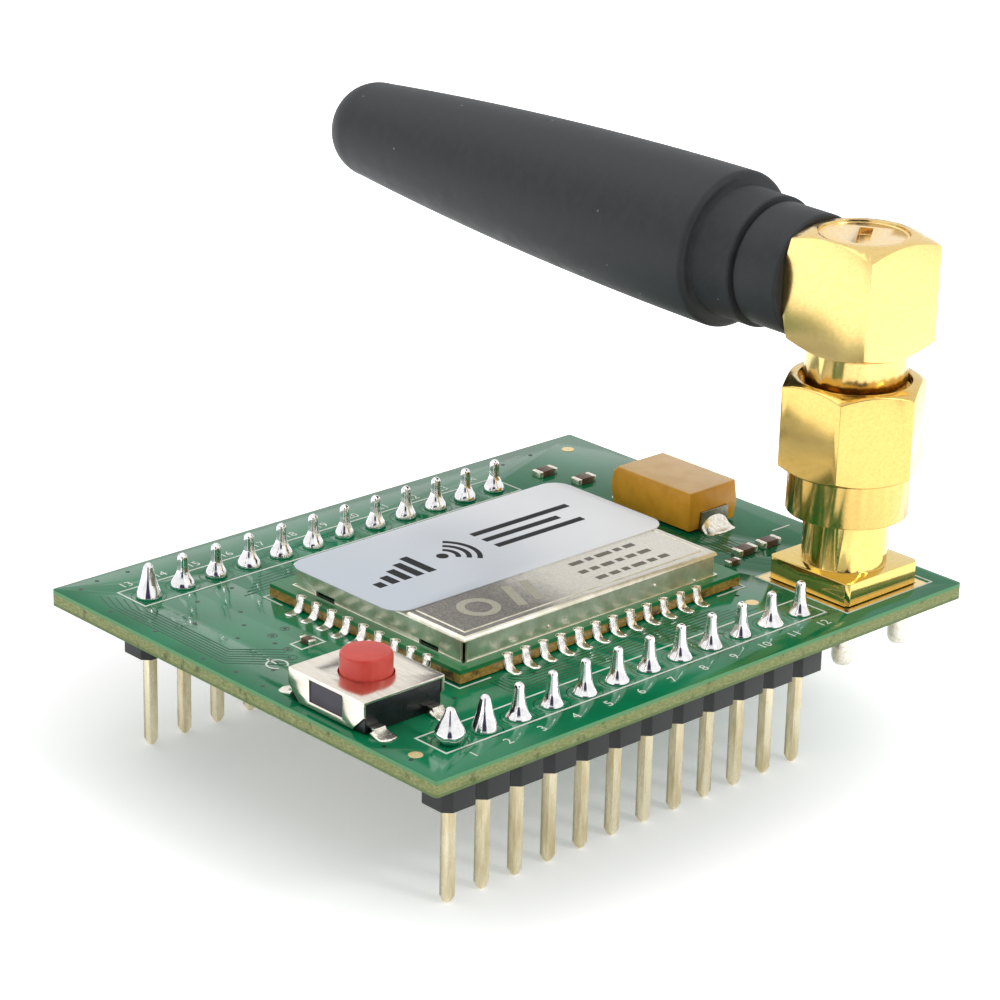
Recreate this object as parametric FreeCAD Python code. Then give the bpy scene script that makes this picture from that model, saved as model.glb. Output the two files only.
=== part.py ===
import FreeCAD, Part
import math
import os

# Phone-network radio module on a pin-header carrier board, with an upright coaxial jack and a
# short right-angle antenna that is screwed to it. All sizes are in millimetres.
# The origin is the centre of the pin grid, on the plane that the pin tips stand on.
# X runs along the pin rows, Y across them in the direction of the antenna, and Z is up.

# Pin headers
pinCount = 12
pinPitch = 2.54
rowSpacing = 26.67
pinWidth = 0.64
pinBelowStrip = 6.1
pinAboveStrip = 3.0
pinTipLength = 0.4
pinTipWidth = 0.3
pinTopTaper = 1.6
pinTopWidth = 0.3
stripHeight = 2.54
stripWidth = 2.5
stripNotch = 0.45

# Carrier board, measured from the outer pins to its edges
boardThickness = 1.0
boardLeftMargin = 3.8
boardRightMargin = 11.2
boardFrontMargin = 3.15
boardBackMargin = 4.55
boardCornerRadius = 0.25
pinHoleRadius = 0.5

# Solder cones round the pins
coneBaseRadius = 0.8
coneBaseHeight = 0.06
coneFootRadius = 0.56
coneFootHeight = 0.42
coneNeckRadius = 0.42
coneNeckHeight = 1.0
coneTopRadius = 0.32
pinEndShown = 0.45

# Castellated module board
moduleLength = 22.8
moduleWidth = 16.8
moduleThickness = 0.8
moduleSolderGap = 0.1
moduleFromLeft = 9.2
moduleFromFront = 8.3
notchRadius = 0.35
notchPitch = 1.4
longSideNotches = 12
shortSideNotches = 9
filletReach = 1.1
filletToeHeight = 0.06
filletHeelHeight = 0.3
filletHeel = 0.5
filletTopDrop = 0.08
solderSides = 8

# Shield can on the module board
canLength = 20.6
canWidth = 15.0
canHeight = 1.6
canSheet = 0.2
canBend = 0.3
canSlit = 0.28
canShiftX = -0.3
canShiftY = -0.3
canSlotLength = 1.65
canSlotHeight = 0.26
canSlotRise = 0.08
canSlotSpread = 9.1
canGrooveInset = 0.55
canGrooveWidth = 0.14
canGrooveDepth = 0.05

# Label on the can
labelOverhang = 0.75
labelWidth = 9.9
labelThickness = 0.08
labelCorner = 1.3
labelFromBack = 0.2

# Chips under the can
modemChipSide = 8.6
modemChipHeight = 0.95
powerChipSide = 5.0
powerChipHeight = 0.85
modemChipGap = 0.9
powerChipGap = 1.6

# Push-button switch
switchLength = 5.9
switchWidth = 6.4
switchHeight = 2.0
switchFromLeft = 0.7
switchFromFront = 6.7
coverSheet = 0.2
coverChamfer = 0.95
coverGap = 0.1
windowWidth = 2.8
windowHeight = 1.3
windowDrop = 0.22
wellRadius = 2.1
wellFloor = 0.4
buttonRadius = 1.5
buttonRise = 1.22
buttonFlangeRadius = 1.95
buttonFlangeHeight = 0.5
buttonBossRadius = 0.8
buttonDomeGap = 0.02
buttonClearance = 0.08
buttonEdge = 0.12
buttonUnderCover = 0.05
domeRise = 0.3
domeSheet = 0.08
domeRadius = 1.8
terminalWidth = 0.8
terminalSheet = 0.15
terminalReach = 1.0
terminalRise = 0.45
terminalSpread = 4.2

# Tantalum capacitor, long side along Y
capBodyLength = 7.0
capBodyWidth = 4.3
capHeight = 2.75
capDraft = 0.12
capPartingHeight = 1.35
capBevel = 0.35
capTerminalWidth = 2.4
capTerminalSheet = 0.15
capTerminalTuck = 1.3
capFromRight = 5.1
capFromFront = 19.6
capSolderReach = 0.9
capSolderHeight = 0.75

# Chip parts: length, width, height and the length of each metal end
smallChip = (1.0, 0.5, 0.35, 0.22)
largeChip = (1.6, 0.8, 0.45, 0.32)
switchChipFromLeft = 6.54
switchChipFromFront = 18.4
rowChipFromRight = 4.6
rowChipPitch = 2.15
rowChipFromCapacitor = 7.8
endChipFromRight = 8.65
endChipFromFront = 11.0
nearChipFromRight = 5.75
nearChipFromCapacitor = 7.52
cornerChipShiftX = -1.0
cornerChipShiftY = 2.6

# Coaxial jack
jackFromRight = 5.35
jackFromFront = 4.95
flangeSide = 6.42
flangeThickness = 1.42
flangeStepSide = 5.5
flangeStepHeight = 0.08
flangeEdge = 0.25
barrelRadius = 2.6
barrelHeight = 3.0
threadRadius = 3.15
jackHeight = 9.6
jackMouthRadius = 2.35
jackMouthDepth = 2.0
jackBoreRadius = 2.05
contactRadius = 0.63
contactBoreRadius = 0.5
contactBoreDepth = 3.0
legWidth = 0.95
legSpacing = 5.08
legLength = 3.8
legTipLength = 0.3
legTipWidth = 0.6
legHoleRadius = 0.72
legSolderRadius = 1.0
legSolderNeck = 0.72
legSolderHeight = 0.7

# Coupling nut
nutRise = 4.72
collarRadius = 3.73
collarLength = 2.65
hexFlats = 7.94
hexLength = 5.75
hexChamferRadius = 3.85
hexChamferSlope = 0.55
hexTurn = 31.0
threadClearance = 0.06
nutThreadLength = 5.5
nutLipRadius = 3.42
nutLipDepth = 0.6
runningClearance = 0.07

# Retaining ring between nut and elbow
ringInnerRadius = 2.42
ringOuterRadius = 3.12
ringThickness = 0.5
ringPlay = 0.05
ringGap = 1.6
ringDrop = 1.3

# Elbow body
elbowRise = 14.9
elbowWidth = 6.2
elbowDepth = 6.7
elbowHeight = 7.1
elbowChamferRadius = 3.1
elbowChamferSlope = 0.42
sideChamferRadius = 3.35
neckRadius = 3.1
plugBodyRadius = 2.75
sleeveRadius = 2.28
sleeveBoreRadius = 1.95
sleeveGap = 0.15
spigotRadius = 2.2
spigotLength = 8.0
elbowBoreRadius = 1.8
sideBoreRadius = 1.6
capDiscRadius = 2.6
capDiscRim = 0.24
capDiscThickness = 0.9
capDiscDrop = 0.12
capSlotWidth = 0.8
capSlotDepth = 0.45
capSlotLength = 3.4
capSlotShift = 0.2
capSlotTurn = 36.0
plugPinRadius = 0.45
plugPinReach = 2.4

# Antenna, with distances from the jack's axis along +Y
sheathCollarRadius = 3.85
sheathCollarEnd = 6.75
sheathCollarEdge = 0.3
sheathGrooveWidth = 0.25
sheathGrooveDepth = 0.3
sheathStepRadius = 4.1
sheathStepEnd = 10.0
sheathRootRadius = 4.93
sheathTipRadius = 3.25
sheathSwell = 0.375
sheathSections = 6
sheathLength = 46.3
sheathTipRounding = 3.0
sheathEdge = 0.4
sheathLean = 1.05
sheathGap = 0.02
coilRadius = 1.6
coilWireRadius = 0.35
coilTurns = 8
coilStepsPerTurn = 10
coilLength = 28.0
coilClearance = 0.25

# Card holder under the board
holderLength = 14.0
holderWidth = 14.6
holderHeight = 1.45
holderSheet = 0.2
holderFromLeft = 3.3
holderBaseHeight = 0.45
holderWindow = 7.0
holderContactWidth = 1.0
holderContactLength = 3.4
holderContactRise = 0.55
holderContactPitch = 2.54
holderRowSpacing = 7.62

# Directions on the board, in degrees about Z, and how close two heights are to be the same
towardsRight = 0
towardsBack = 90
towardsLeft = 180
towardsFront = 270
sameHeight = 1e-6

# Heights and places worked out from the sizes above
pinLength = pinBelowStrip + stripHeight + pinAboveStrip
boardBottom = pinBelowStrip + stripHeight
boardTop = boardBottom + boardThickness
firstPin = -(pinCount - 1) * pinPitch / 2
frontRow = -rowSpacing / 2
backRow = rowSpacing / 2
boardLeft = firstPin - boardLeftMargin
boardRight = -firstPin + boardRightMargin
boardFront = frontRow - boardFrontMargin
boardBack = backRow + boardBackMargin

moduleLeft = boardLeft + moduleFromLeft
moduleFront = boardFront + moduleFromFront
moduleX = moduleLeft + moduleLength / 2
moduleY = moduleFront + moduleWidth / 2
moduleBottom = boardTop + moduleSolderGap
moduleTop = moduleBottom + moduleThickness
canX = moduleX + canShiftX
canY = moduleY + canShiftY
canTop = moduleTop + canHeight

switchX = boardLeft + switchFromLeft + switchLength / 2
switchY = boardFront + switchFromFront + switchWidth / 2
coverTop = boardTop + switchHeight
coverUnder = coverTop - coverSheet
domeLow = boardTop + wellFloor

jackX = boardRight - jackFromRight
jackY = boardFront + jackFromFront
flangeTop = boardTop + flangeStepHeight + flangeThickness
jackTop = boardTop + jackHeight
jackFace = jackTop - jackMouthDepth
nutBottom = boardTop + nutRise
hexBottom = nutBottom + collarLength
nutTop = hexBottom + hexLength
nutBoreRadius = threadRadius + threadClearance
ringTop = nutTop - ringDrop
ringBottom = ringTop - ringThickness
elbowBottom = boardTop + elbowRise
elbowTop = elbowBottom + elbowHeight
antennaZ = elbowBottom + elbowHeight / 2


def box(xLow, xHigh, yLow, yHigh, zLow, zHigh):
    size = (xHigh - xLow, yHigh - yLow, zHigh - zLow)
    return Part.makeBox(*size, FreeCAD.Vector(xLow, yLow, zLow))


def centredBox(x, y, length, width, zLow, zHigh):
    return box(x - length / 2, x + length / 2, y - width / 2, y + width / 2, zLow, zHigh)


def cylinder(x, y, radius, zLow, zHigh):
    return Part.makeCylinder(radius, zHigh - zLow, FreeCAD.Vector(x, y, zLow))


def turned(profile, x, y):
    """Solid of revolution about a vertical axis from (radius, height) points."""
    points = [FreeCAD.Vector(x + radius, y, height) for radius, height in profile]
    face = Part.Face(Part.makePolygon(points + points[:1]))
    return face.revolve(FreeCAD.Vector(x, y, 0), FreeCAD.Vector(0, 0, 1), 360)


def turnedAlongY(edges, x, y, z):
    """Solid of revolution about an axis along Y from edges drawn with X as radius."""
    face = Part.Face(Part.Wire(edges))
    solid = face.revolve(FreeCAD.Vector(0, 0, 0), FreeCAD.Vector(0, 1, 0), 360)
    solid.translate(FreeCAD.Vector(x, y, z))
    return solid


def line(start, end):
    return Part.makeLine(FreeCAD.Vector(start[0], start[1], 0), FreeCAD.Vector(end[0], end[1], 0))


def polyline(points):
    return [line(points[index], points[index + 1]) for index in range(len(points) - 1)]


def quarterRound(start, end, centre):
    """Quarter of a circle between two points of a drawn profile."""
    radius = math.dist(start, centre)
    bulge = [(start[axis] + end[axis]) / 2 - centre[axis] for axis in (0, 1)]
    scale = radius / math.hypot(*bulge)
    middle = [centre[axis] + bulge[axis] * scale for axis in (0, 1)]
    points = [FreeCAD.Vector(x, y, 0) for x, y in (start, middle, end)]
    return Part.Arc(*points).toShape()


def squareFrustum(x, y, lowWidth, zLow, highWidth, zHigh, lowDepth=None, highDepth=None):
    """Straight-sided block between two rectangles, one above the other."""
    wires = []
    for width, depth, z in ((lowWidth, lowDepth, zLow), (highWidth, highDepth, zHigh)):
        halfX = width / 2
        halfY = (depth or width) / 2
        corners = [(-halfX, -halfY), (halfX, -halfY), (halfX, halfY), (-halfX, halfY)]
        points = [FreeCAD.Vector(x + dx, y + dy, z) for dx, dy in corners]
        wires.append(Part.makePolygon(points + points[:1]))
    return Part.makeLoft(wires, True, True)


def roundedPlate(x, y, length, width, radius, zLow, zHigh):
    plate = centredBox(x, y, length, width, zLow, zHigh)
    upright = [edge for edge in plate.Edges if abs(edge.tangentAt(edge.FirstParameter).z) > 0.9]
    return plate.makeFillet(radius, upright)


def prism(points, vector):
    """Polygon of 3-D points pushed along a vector."""
    corners = [FreeCAD.Vector(*point) for point in points]
    return Part.Face(Part.makePolygon(corners + corners[:1])).extrude(FreeCAD.Vector(*vector))


def sideProfile(profile, width, x, y, angle):
    """Bracket cut from (outward, height) points, centred on its width, turned about Z."""
    solid = prism([(u, -width / 2, z) for u, z in profile], (0, width, 0))
    solid.rotate(FreeCAD.Vector(0, 0, 0), FreeCAD.Vector(0, 0, 1), angle)
    solid.translate(FreeCAD.Vector(x, y, 0))
    return solid


def union(shapes):
    result = shapes[0].multiFuse(shapes[1:]) if len(shapes) > 1 else shapes[0]
    return result.removeSplitter()


def keep(name, shape):
    shape.exportStep("parts/%s.step" % name)


def pinPlaces(row):
    return [(firstPin + index * pinPitch, row) for index in range(pinCount)]


def evenPlaces(centre, count, pitch):
    return [centre + (index - (count - 1) / 2) * pitch for index in range(count)]


# Carrier board

def makeBoard():
    centreX = (boardLeft + boardRight) / 2
    centreY = (boardFront + boardBack) / 2
    plate = roundedPlate(centreX, centreY, boardRight - boardLeft, boardBack - boardFront,
                         boardCornerRadius, boardBottom, boardTop)
    holes = [cylinder(x, y, pinHoleRadius, boardBottom, boardTop)
             for row in (frontRow, backRow) for x, y in pinPlaces(row)]
    holes += [cylinder(x, y, legHoleRadius, boardBottom, boardTop) for x, y in legPlaces()]
    holes.append(cylinder(jackX, jackY, legHoleRadius, boardBottom, boardTop))
    return plate.cut(holes)


# Pin headers

def makeStrip(row):
    half = pinPitch / 2
    side = stripWidth / 2
    near = []
    for x, y in pinPlaces(row):
        near += [(x - half + stripNotch, side), (x + half - stripNotch, side)]
        near.append((x + half, side - stripNotch))
    start = (firstPin - half, side - stripNotch)
    near = [start] + near
    outline = [(x, row - offset, pinBelowStrip) for x, offset in near]
    outline += [(x, row + offset, pinBelowStrip) for x, offset in reversed(near)]
    strip = prism(outline, (0, 0, stripHeight))
    holes = [centredBox(x, y, pinWidth, pinWidth, pinBelowStrip, boardBottom)
             for x, y in pinPlaces(row)]
    return strip.cut(holes)


def makePin(x, y):
    shaft = centredBox(x, y, pinWidth, pinWidth, pinTipLength, pinLength - pinTopTaper)
    tip = squareFrustum(x, y, pinTipWidth, 0, pinWidth, pinTipLength)
    top = squareFrustum(x, y, pinWidth, pinLength - pinTopTaper, pinTopWidth, pinLength)
    return union([shaft, tip, top])


def makeSolderCone(x, y):
    coneTop = pinLength - pinEndShown
    profile = [(0, boardTop), (coneBaseRadius, boardTop)]
    profile.append((coneBaseRadius, boardTop + coneBaseHeight))
    profile.append((coneFootRadius, boardTop + coneFootHeight))
    profile.append((coneNeckRadius, boardTop + coneNeckHeight))
    profile += [(coneTopRadius, coneTop), (0, coneTop)]
    return turned(profile, x, y).cut(makePin(x, y))


# Castellated module board and its solder

def notchPlaces():
    """Centre of each notch with the outward direction of its edge in degrees."""
    along = evenPlaces(moduleX, longSideNotches, notchPitch)
    across = evenPlaces(moduleY, shortSideNotches, notchPitch)
    places = [(x, moduleFront, towardsFront) for x in along]
    places += [(x, moduleFront + moduleWidth, towardsBack) for x in along]
    places += [(moduleLeft, y, towardsLeft) for y in across]
    places += [(moduleLeft + moduleLength, y, towardsRight) for y in across]
    return places


def makeModuleBoard():
    plate = centredBox(moduleX, moduleY, moduleLength, moduleWidth, moduleBottom, moduleTop)
    notches = [cylinder(x, y, notchRadius, moduleBottom, moduleTop) for x, y, _ in notchPlaces()]
    return plate.cut(notches)


def makeModuleSolder():
    low = boardTop
    high = moduleTop - filletTopDrop
    profile = [(0, low), (filletReach, low), (filletReach, low + filletToeHeight)]
    profile += [(filletHeel, low + filletHeelHeight), (notchRadius, high - filletHeelHeight)]
    profile.append((0, high - filletHeelHeight))
    joints = []
    for x, y, angle in notchPlaces():
        corners = []
        for index in range(solderSides):
            turn = 2 * math.pi * (index + 0.5) / solderSides
            corners.append((x + notchRadius * math.cos(turn), y + notchRadius * math.sin(turn), low))
        column = prism(corners, (0, 0, high - low))
        width = 2 * notchRadius * math.cos(math.pi / solderSides)
        joints.append(union([column, sideProfile(profile, width, x, y, angle)]))
    return Part.makeCompound(joints)


# Shield can, label and chips

def makeCan():
    can = centredBox(canX, canY, canLength, canWidth, moduleTop, canTop)
    rim = [edge for edge in can.Edges
           if abs(edge.CenterOfMass.z - canTop) < sameHeight]
    can = can.makeFillet(canBend, rim)
    inner = centredBox(canX, canY, canLength - 2 * canSheet, canWidth - 2 * canSheet,
                       moduleTop, canTop - canSheet)
    cuts = [inner]
    cornerX = canLength / 2 - canSlit
    cornerY = canWidth / 2 - canSlit
    slitTop = canTop - canBend
    for sideX in (-1, 1):
        for sideY in (-1, 1):
            x = canX + sideX * (cornerX + canSlit)
            y = canY + sideY * (cornerY + canSlit)
            cuts.append(centredBox(x, y, 2 * canSlit, 2 * canSlit, moduleTop, slitTop))
    slotLow = moduleTop + canSlotRise
    for y in evenPlaces(canY, 2, canSlotSpread):
        cuts.append(centredBox(canX, y, canLength + canSheet, canSlotLength,
                               slotLow, slotLow + canSlotHeight))
    grooveLow = canTop - canGrooveDepth
    outerRing = centredBox(canX, canY, canLength - 2 * canGrooveInset,
                           canWidth - 2 * canGrooveInset, grooveLow, canTop)
    island = centredBox(canX, canY, canLength - 2 * (canGrooveInset + canGrooveWidth),
                        canWidth - 2 * (canGrooveInset + canGrooveWidth), grooveLow, canTop)
    cuts.append(outerRing.cut(island))
    return can.cut(cuts)


def makeLabel():
    """Sticker that reaches a little past both ends of the can."""
    labelY = canY + canWidth / 2 - labelFromBack - labelWidth / 2
    return roundedPlate(canX, labelY, canLength + 2 * labelOverhang, labelWidth, labelCorner,
                        canTop, canTop + labelThickness)


def makeHiddenChip(x, side, height):
    return centredBox(x, canY, side, side, moduleTop, moduleTop + height)


# Push-button switch

def makeSwitchBase():
    innerLength = switchLength - 2 * coverSheet
    base = centredBox(switchX, switchY, innerLength, switchWidth - 2 * coverGap,
                      boardTop, coverUnder)
    return base.cut(cylinder(switchX, switchY, wellRadius, domeLow, coverUnder))


def makeSwitchCover():
    """Top sheet with a button hole and two folded sides with cut corners and a window."""
    halfWidth = switchWidth / 2
    lowest = boardTop + coverGap
    top = centredBox(switchX, switchY, switchLength, switchWidth, coverUnder, coverTop)
    sides = []
    for direction in (-1, 1):
        outer = switchX + direction * switchLength / 2
        outline = [(-halfWidth, coverUnder), (halfWidth, coverUnder),
                   (halfWidth, lowest + coverChamfer), (halfWidth - coverChamfer, lowest),
                   (coverChamfer - halfWidth, lowest), (-halfWidth, lowest + coverChamfer)]
        points = [(outer, switchY + y, z) for y, z in outline]
        side = prism(points, (-direction * coverSheet, 0, 0))
        windowHigh = coverTop - windowDrop
        window = centredBox(outer, switchY, 4 * coverSheet, windowWidth,
                            windowHigh - windowHeight, windowHigh)
        sides.append(side.cut(window))
    cover = union([top] + sides)
    return cover.cut(cylinder(switchX, switchY, buttonRadius + buttonClearance,
                              coverUnder, coverTop))


def makeButton():
    """Push button: a boss on the dome, a flange under the cover and a round head above it."""
    bossLow = domeLow + domeRise + buttonDomeGap
    flangeTopZ = coverUnder - buttonUnderCover
    flangeLow = flangeTopZ - buttonFlangeHeight
    top = coverTop + buttonRise
    profile = [(0, bossLow), (buttonBossRadius, bossLow),
               (buttonBossRadius, flangeLow), (buttonFlangeRadius, flangeLow),
               (buttonFlangeRadius, flangeTopZ), (buttonRadius, flangeTopZ),
               (buttonRadius, top - buttonEdge), (buttonRadius - buttonEdge, top), (0, top)]
    return turned(profile, switchX, switchY)


def makeDome():
    """Shallow spring disc: a ring-shaped slice of a sphere's shell on the well's floor."""
    sphereRadius = (domeRadius ** 2 + domeRise ** 2) / (2 * domeRise)
    centre = FreeCAD.Vector(switchX, switchY, domeLow + domeRise - sphereRadius)
    shell = Part.makeSphere(sphereRadius, centre)
    shell = shell.cut(Part.makeSphere(sphereRadius - domeSheet, centre))
    return shell.common(cylinder(switchX, switchY, domeRadius, domeLow, domeLow + domeRise))


def switchTerminalPlaces():
    places = []
    for x in evenPlaces(switchX, 2, terminalSpread):
        places.append((x, switchY - switchWidth / 2 + coverGap, towardsFront))
        places.append((x, switchY + switchWidth / 2 - coverGap, towardsBack))
    return places


def makeTerminals():
    low = boardTop
    sheet = terminalSheet
    bend = terminalReach * 0.5
    profile = [(0, low + terminalRise - sheet), (bend - sheet, low + terminalRise - sheet),
               (bend, low), (terminalReach, low), (terminalReach, low + sheet),
               (bend + sheet, low + sheet), (bend, low + terminalRise), (0, low + terminalRise)]
    return Part.makeCompound([sideProfile(profile, terminalWidth, x, y, angle)
                              for x, y, angle in switchTerminalPlaces()])


# Tantalum capacitor

capX = boardRight - capFromRight
capY = boardFront + capFromFront
capBottom = boardTop + capTerminalSheet
capPart = boardTop + capPartingHeight
capTopZ = boardTop + capHeight


def makeCapacitorBody():
    """Moulded block with drafted sides and a bevel along its +Y top edge."""
    narrowLength = capBodyLength - 2 * capDraft
    narrowWidth = capBodyWidth - 2 * capDraft
    lower = squareFrustum(capX, capY, narrowWidth, capBottom, capBodyWidth, capPart,
                          narrowLength, capBodyLength)
    upper = squareFrustum(capX, capY, capBodyWidth, capPart, narrowWidth, capTopZ,
                          capBodyLength, narrowLength)
    edge = capY + narrowLength / 2
    side = capX - capBodyWidth / 2
    bevel = prism([(side, edge - capBevel, capTopZ), (side, edge + capBevel, capTopZ),
                   (side, edge + capBevel, capTopZ - 2 * capBevel)], (capBodyWidth, 0, 0))
    return union([lower, upper]).cut(bevel)


def makeCapacitorTerminals():
    sheet = capTerminalSheet
    profile = [(0, capPart), (sheet, capPart), (sheet, boardTop),
               (-capTerminalTuck, boardTop), (-capTerminalTuck, capBottom),
               (-capDraft, capBottom)]
    half = capBodyLength / 2
    return Part.makeCompound([
        sideProfile(profile, capTerminalWidth, capX, capY - half, towardsFront),
        sideProfile(profile, capTerminalWidth, capX, capY + half, towardsBack)])


def makeSurfaceSolder():
    """Fillets in front of the capacitor's terminals and round the switch's feet."""
    low = boardTop
    capProfile = [(0, low), (capSolderReach, low), (capSolderReach, low + filletToeHeight),
                  (capSolderReach / 3, low + capSolderHeight / 3), (0, low + capSolderHeight)]
    start = capBodyLength / 2 + capTerminalSheet
    pieces = [sideProfile(capProfile, capTerminalWidth, capX, capY - start, towardsFront),
              sideProfile(capProfile, capTerminalWidth, capX, capY + start, towardsBack)]
    reach = terminalReach * 0.5
    toe = [(0, low), (reach, low), (reach, low + filletToeHeight), (0, low + terminalSheet)]
    for x, y, angle in switchTerminalPlaces():
        outward = terminalReach if angle == towardsBack else -terminalReach
        pieces.append(sideProfile(toe, terminalWidth, x, y + outward, angle))
    return Part.makeCompound(pieces)


# Small chip parts: centre, size and turn about Z of each

def chipPlaces():
    rowX = boardRight - rowChipFromRight
    rowY = capY - rowChipFromCapacitor
    nearX = boardRight - nearChipFromRight
    nearY = capY + nearChipFromCapacitor
    switchChip = (boardLeft + switchChipFromLeft, boardFront + switchChipFromFront)
    return [(*switchChip, smallChip, towardsBack),
            (boardRight - endChipFromRight, boardFront + endChipFromFront, smallChip, 0),
            (rowX - rowChipPitch, rowY, largeChip, 0), (rowX, rowY, largeChip, 0),
            (nearX + cornerChipShiftX, nearY + cornerChipShiftY, largeChip, 0),
            (nearX, nearY, largeChip, 0)]


def makeChips():
    bodies = []
    ends = []
    for x, y, (length, width, height, end), angle in chipPlaces():
        pieces = [centredBox(0, 0, length - 2 * end, width, boardTop, boardTop + height)]
        for side in (-1, 1):
            pieces.append(centredBox(side * (length - end) / 2, 0, end, width,
                                     boardTop, boardTop + height))
        for piece in pieces:
            piece.rotate(FreeCAD.Vector(0, 0, 0), FreeCAD.Vector(0, 0, 1), angle)
            piece.translate(FreeCAD.Vector(x, y, 0))
        bodies.append(pieces[0])
        ends += pieces[1:]
    return Part.makeCompound(bodies), Part.makeCompound(ends)


# Coaxial jack

def legPlaces():
    half = legSpacing / 2
    return [(jackX + dx, jackY + dy) for dx in (-half, half) for dy in (-half, half)]


def makeJackBody():
    """Square flange with corner legs, a smooth barrel and a wider end for the thread."""
    stepTop = boardTop + flangeStepHeight
    step = centredBox(jackX, jackY, flangeStepSide, flangeStepSide, boardTop, stepTop)
    flange = centredBox(jackX, jackY, flangeSide, flangeSide, stepTop, flangeTop)
    upright = [edge for edge in flange.Edges
               if abs(edge.tangentAt(edge.FirstParameter).z) > 0.9]
    flange = flange.makeChamfer(flangeEdge, upright)
    threadLow = flangeTop + barrelHeight
    lead = threadRadius - jackMouthRadius
    outside = [(0, flangeTop), (barrelRadius, flangeTop), (barrelRadius, threadLow),
               (threadRadius, threadLow + threadRadius - barrelRadius),
               (threadRadius, jackTop - lead / 2), (threadRadius - lead / 2, jackTop),
               (0, jackTop)]
    legEnd = boardTop - legLength
    legs = [centredBox(x, y, legWidth, legWidth, legEnd + legTipLength, stepTop)
            for x, y in legPlaces()]
    legs += [squareFrustum(x, y, legTipWidth, legEnd, legWidth, legEnd + legTipLength)
             for x, y in legPlaces()]
    body = union([step, flange, turned(outside, jackX, jackY)] + legs)
    bore = cylinder(jackX, jackY, jackBoreRadius, boardTop, jackTop)
    mouth = cylinder(jackX, jackY, jackMouthRadius, jackFace, jackTop)
    return body.cut([bore, mouth])


def makeJackInsulator():
    body = cylinder(jackX, jackY, jackBoreRadius, boardTop, jackFace)
    return body.cut(cylinder(jackX, jackY, contactRadius, boardTop, jackFace))


def makeJackContact():
    contact = cylinder(jackX, jackY, contactRadius, boardTop - legLength, jackFace)
    socket = cylinder(jackX, jackY, contactBoreRadius, jackFace - contactBoreDepth, jackFace)
    return contact.cut(socket)


def makeJackSolder():
    """Solder cones under the board, round the four legs and the centre contact."""
    low = boardBottom - legSolderHeight
    pieces = []
    for x, y in legPlaces() + [(jackX, jackY)]:
        cone = turned([(0, low), (legSolderNeck, low), (legSolderRadius, boardBottom),
                       (0, boardBottom)], x, y)
        if (x, y) == (jackX, jackY):
            core = cylinder(x, y, contactRadius, low, boardBottom)
        else:
            core = centredBox(x, y, legWidth, legWidth, low, boardBottom)
        pieces.append(cone.cut(core))
    return Part.makeCompound(pieces)


# Coupling nut and retaining ring

def makeNut():
    cornerRadius = hexFlats / 2 / math.cos(math.pi / 6)
    corners = []
    for index in range(6):
        angle = math.radians(hexTurn + 60 * index)
        corners.append((jackX + cornerRadius * math.cos(angle),
                        jackY + cornerRadius * math.sin(angle), hexBottom))
    hexagon = prism(corners, (0, 0, hexLength))
    drop = (cornerRadius - hexChamferRadius) * hexChamferSlope
    envelope = turned([(0, hexBottom), (hexChamferRadius, hexBottom),
                       (cornerRadius, hexBottom + drop), (cornerRadius, nutTop - drop),
                       (hexChamferRadius, nutTop), (0, nutTop)], jackX, jackY)
    collar = cylinder(jackX, jackY, collarRadius, nutBottom, hexBottom)
    body = union([hexagon.common(envelope), collar])
    grooveHigh = ringTop + ringPlay
    grooveLow = ringBottom - ringPlay
    plugHole = plugBodyRadius + runningClearance
    grooveRadius = ringOuterRadius + runningClearance
    threadTop = nutBottom + nutThreadLength
    lipLow = nutTop - nutLipDepth
    bore = turned([(0, nutBottom), (nutBoreRadius, nutBottom), (nutBoreRadius, threadTop),
                   (plugHole, threadTop), (plugHole, grooveLow), (grooveRadius, grooveLow),
                   (grooveRadius, grooveHigh), (plugHole, grooveHigh), (plugHole, lipLow),
                   (nutLipRadius, lipLow), (nutLipRadius, nutTop), (0, nutTop)], jackX, jackY)
    return body.cut(bore)


def makeRing():
    ring = cylinder(jackX, jackY, ringOuterRadius, ringBottom, ringTop)
    ring = ring.cut(cylinder(jackX, jackY, ringInnerRadius, ringBottom, ringTop))
    gap = centredBox(jackX, jackY - ringOuterRadius, ringGap, 2 * ringOuterRadius,
                     ringBottom, ringTop)
    return ring.cut(gap)


# Elbow with plug, cap and contact

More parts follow.
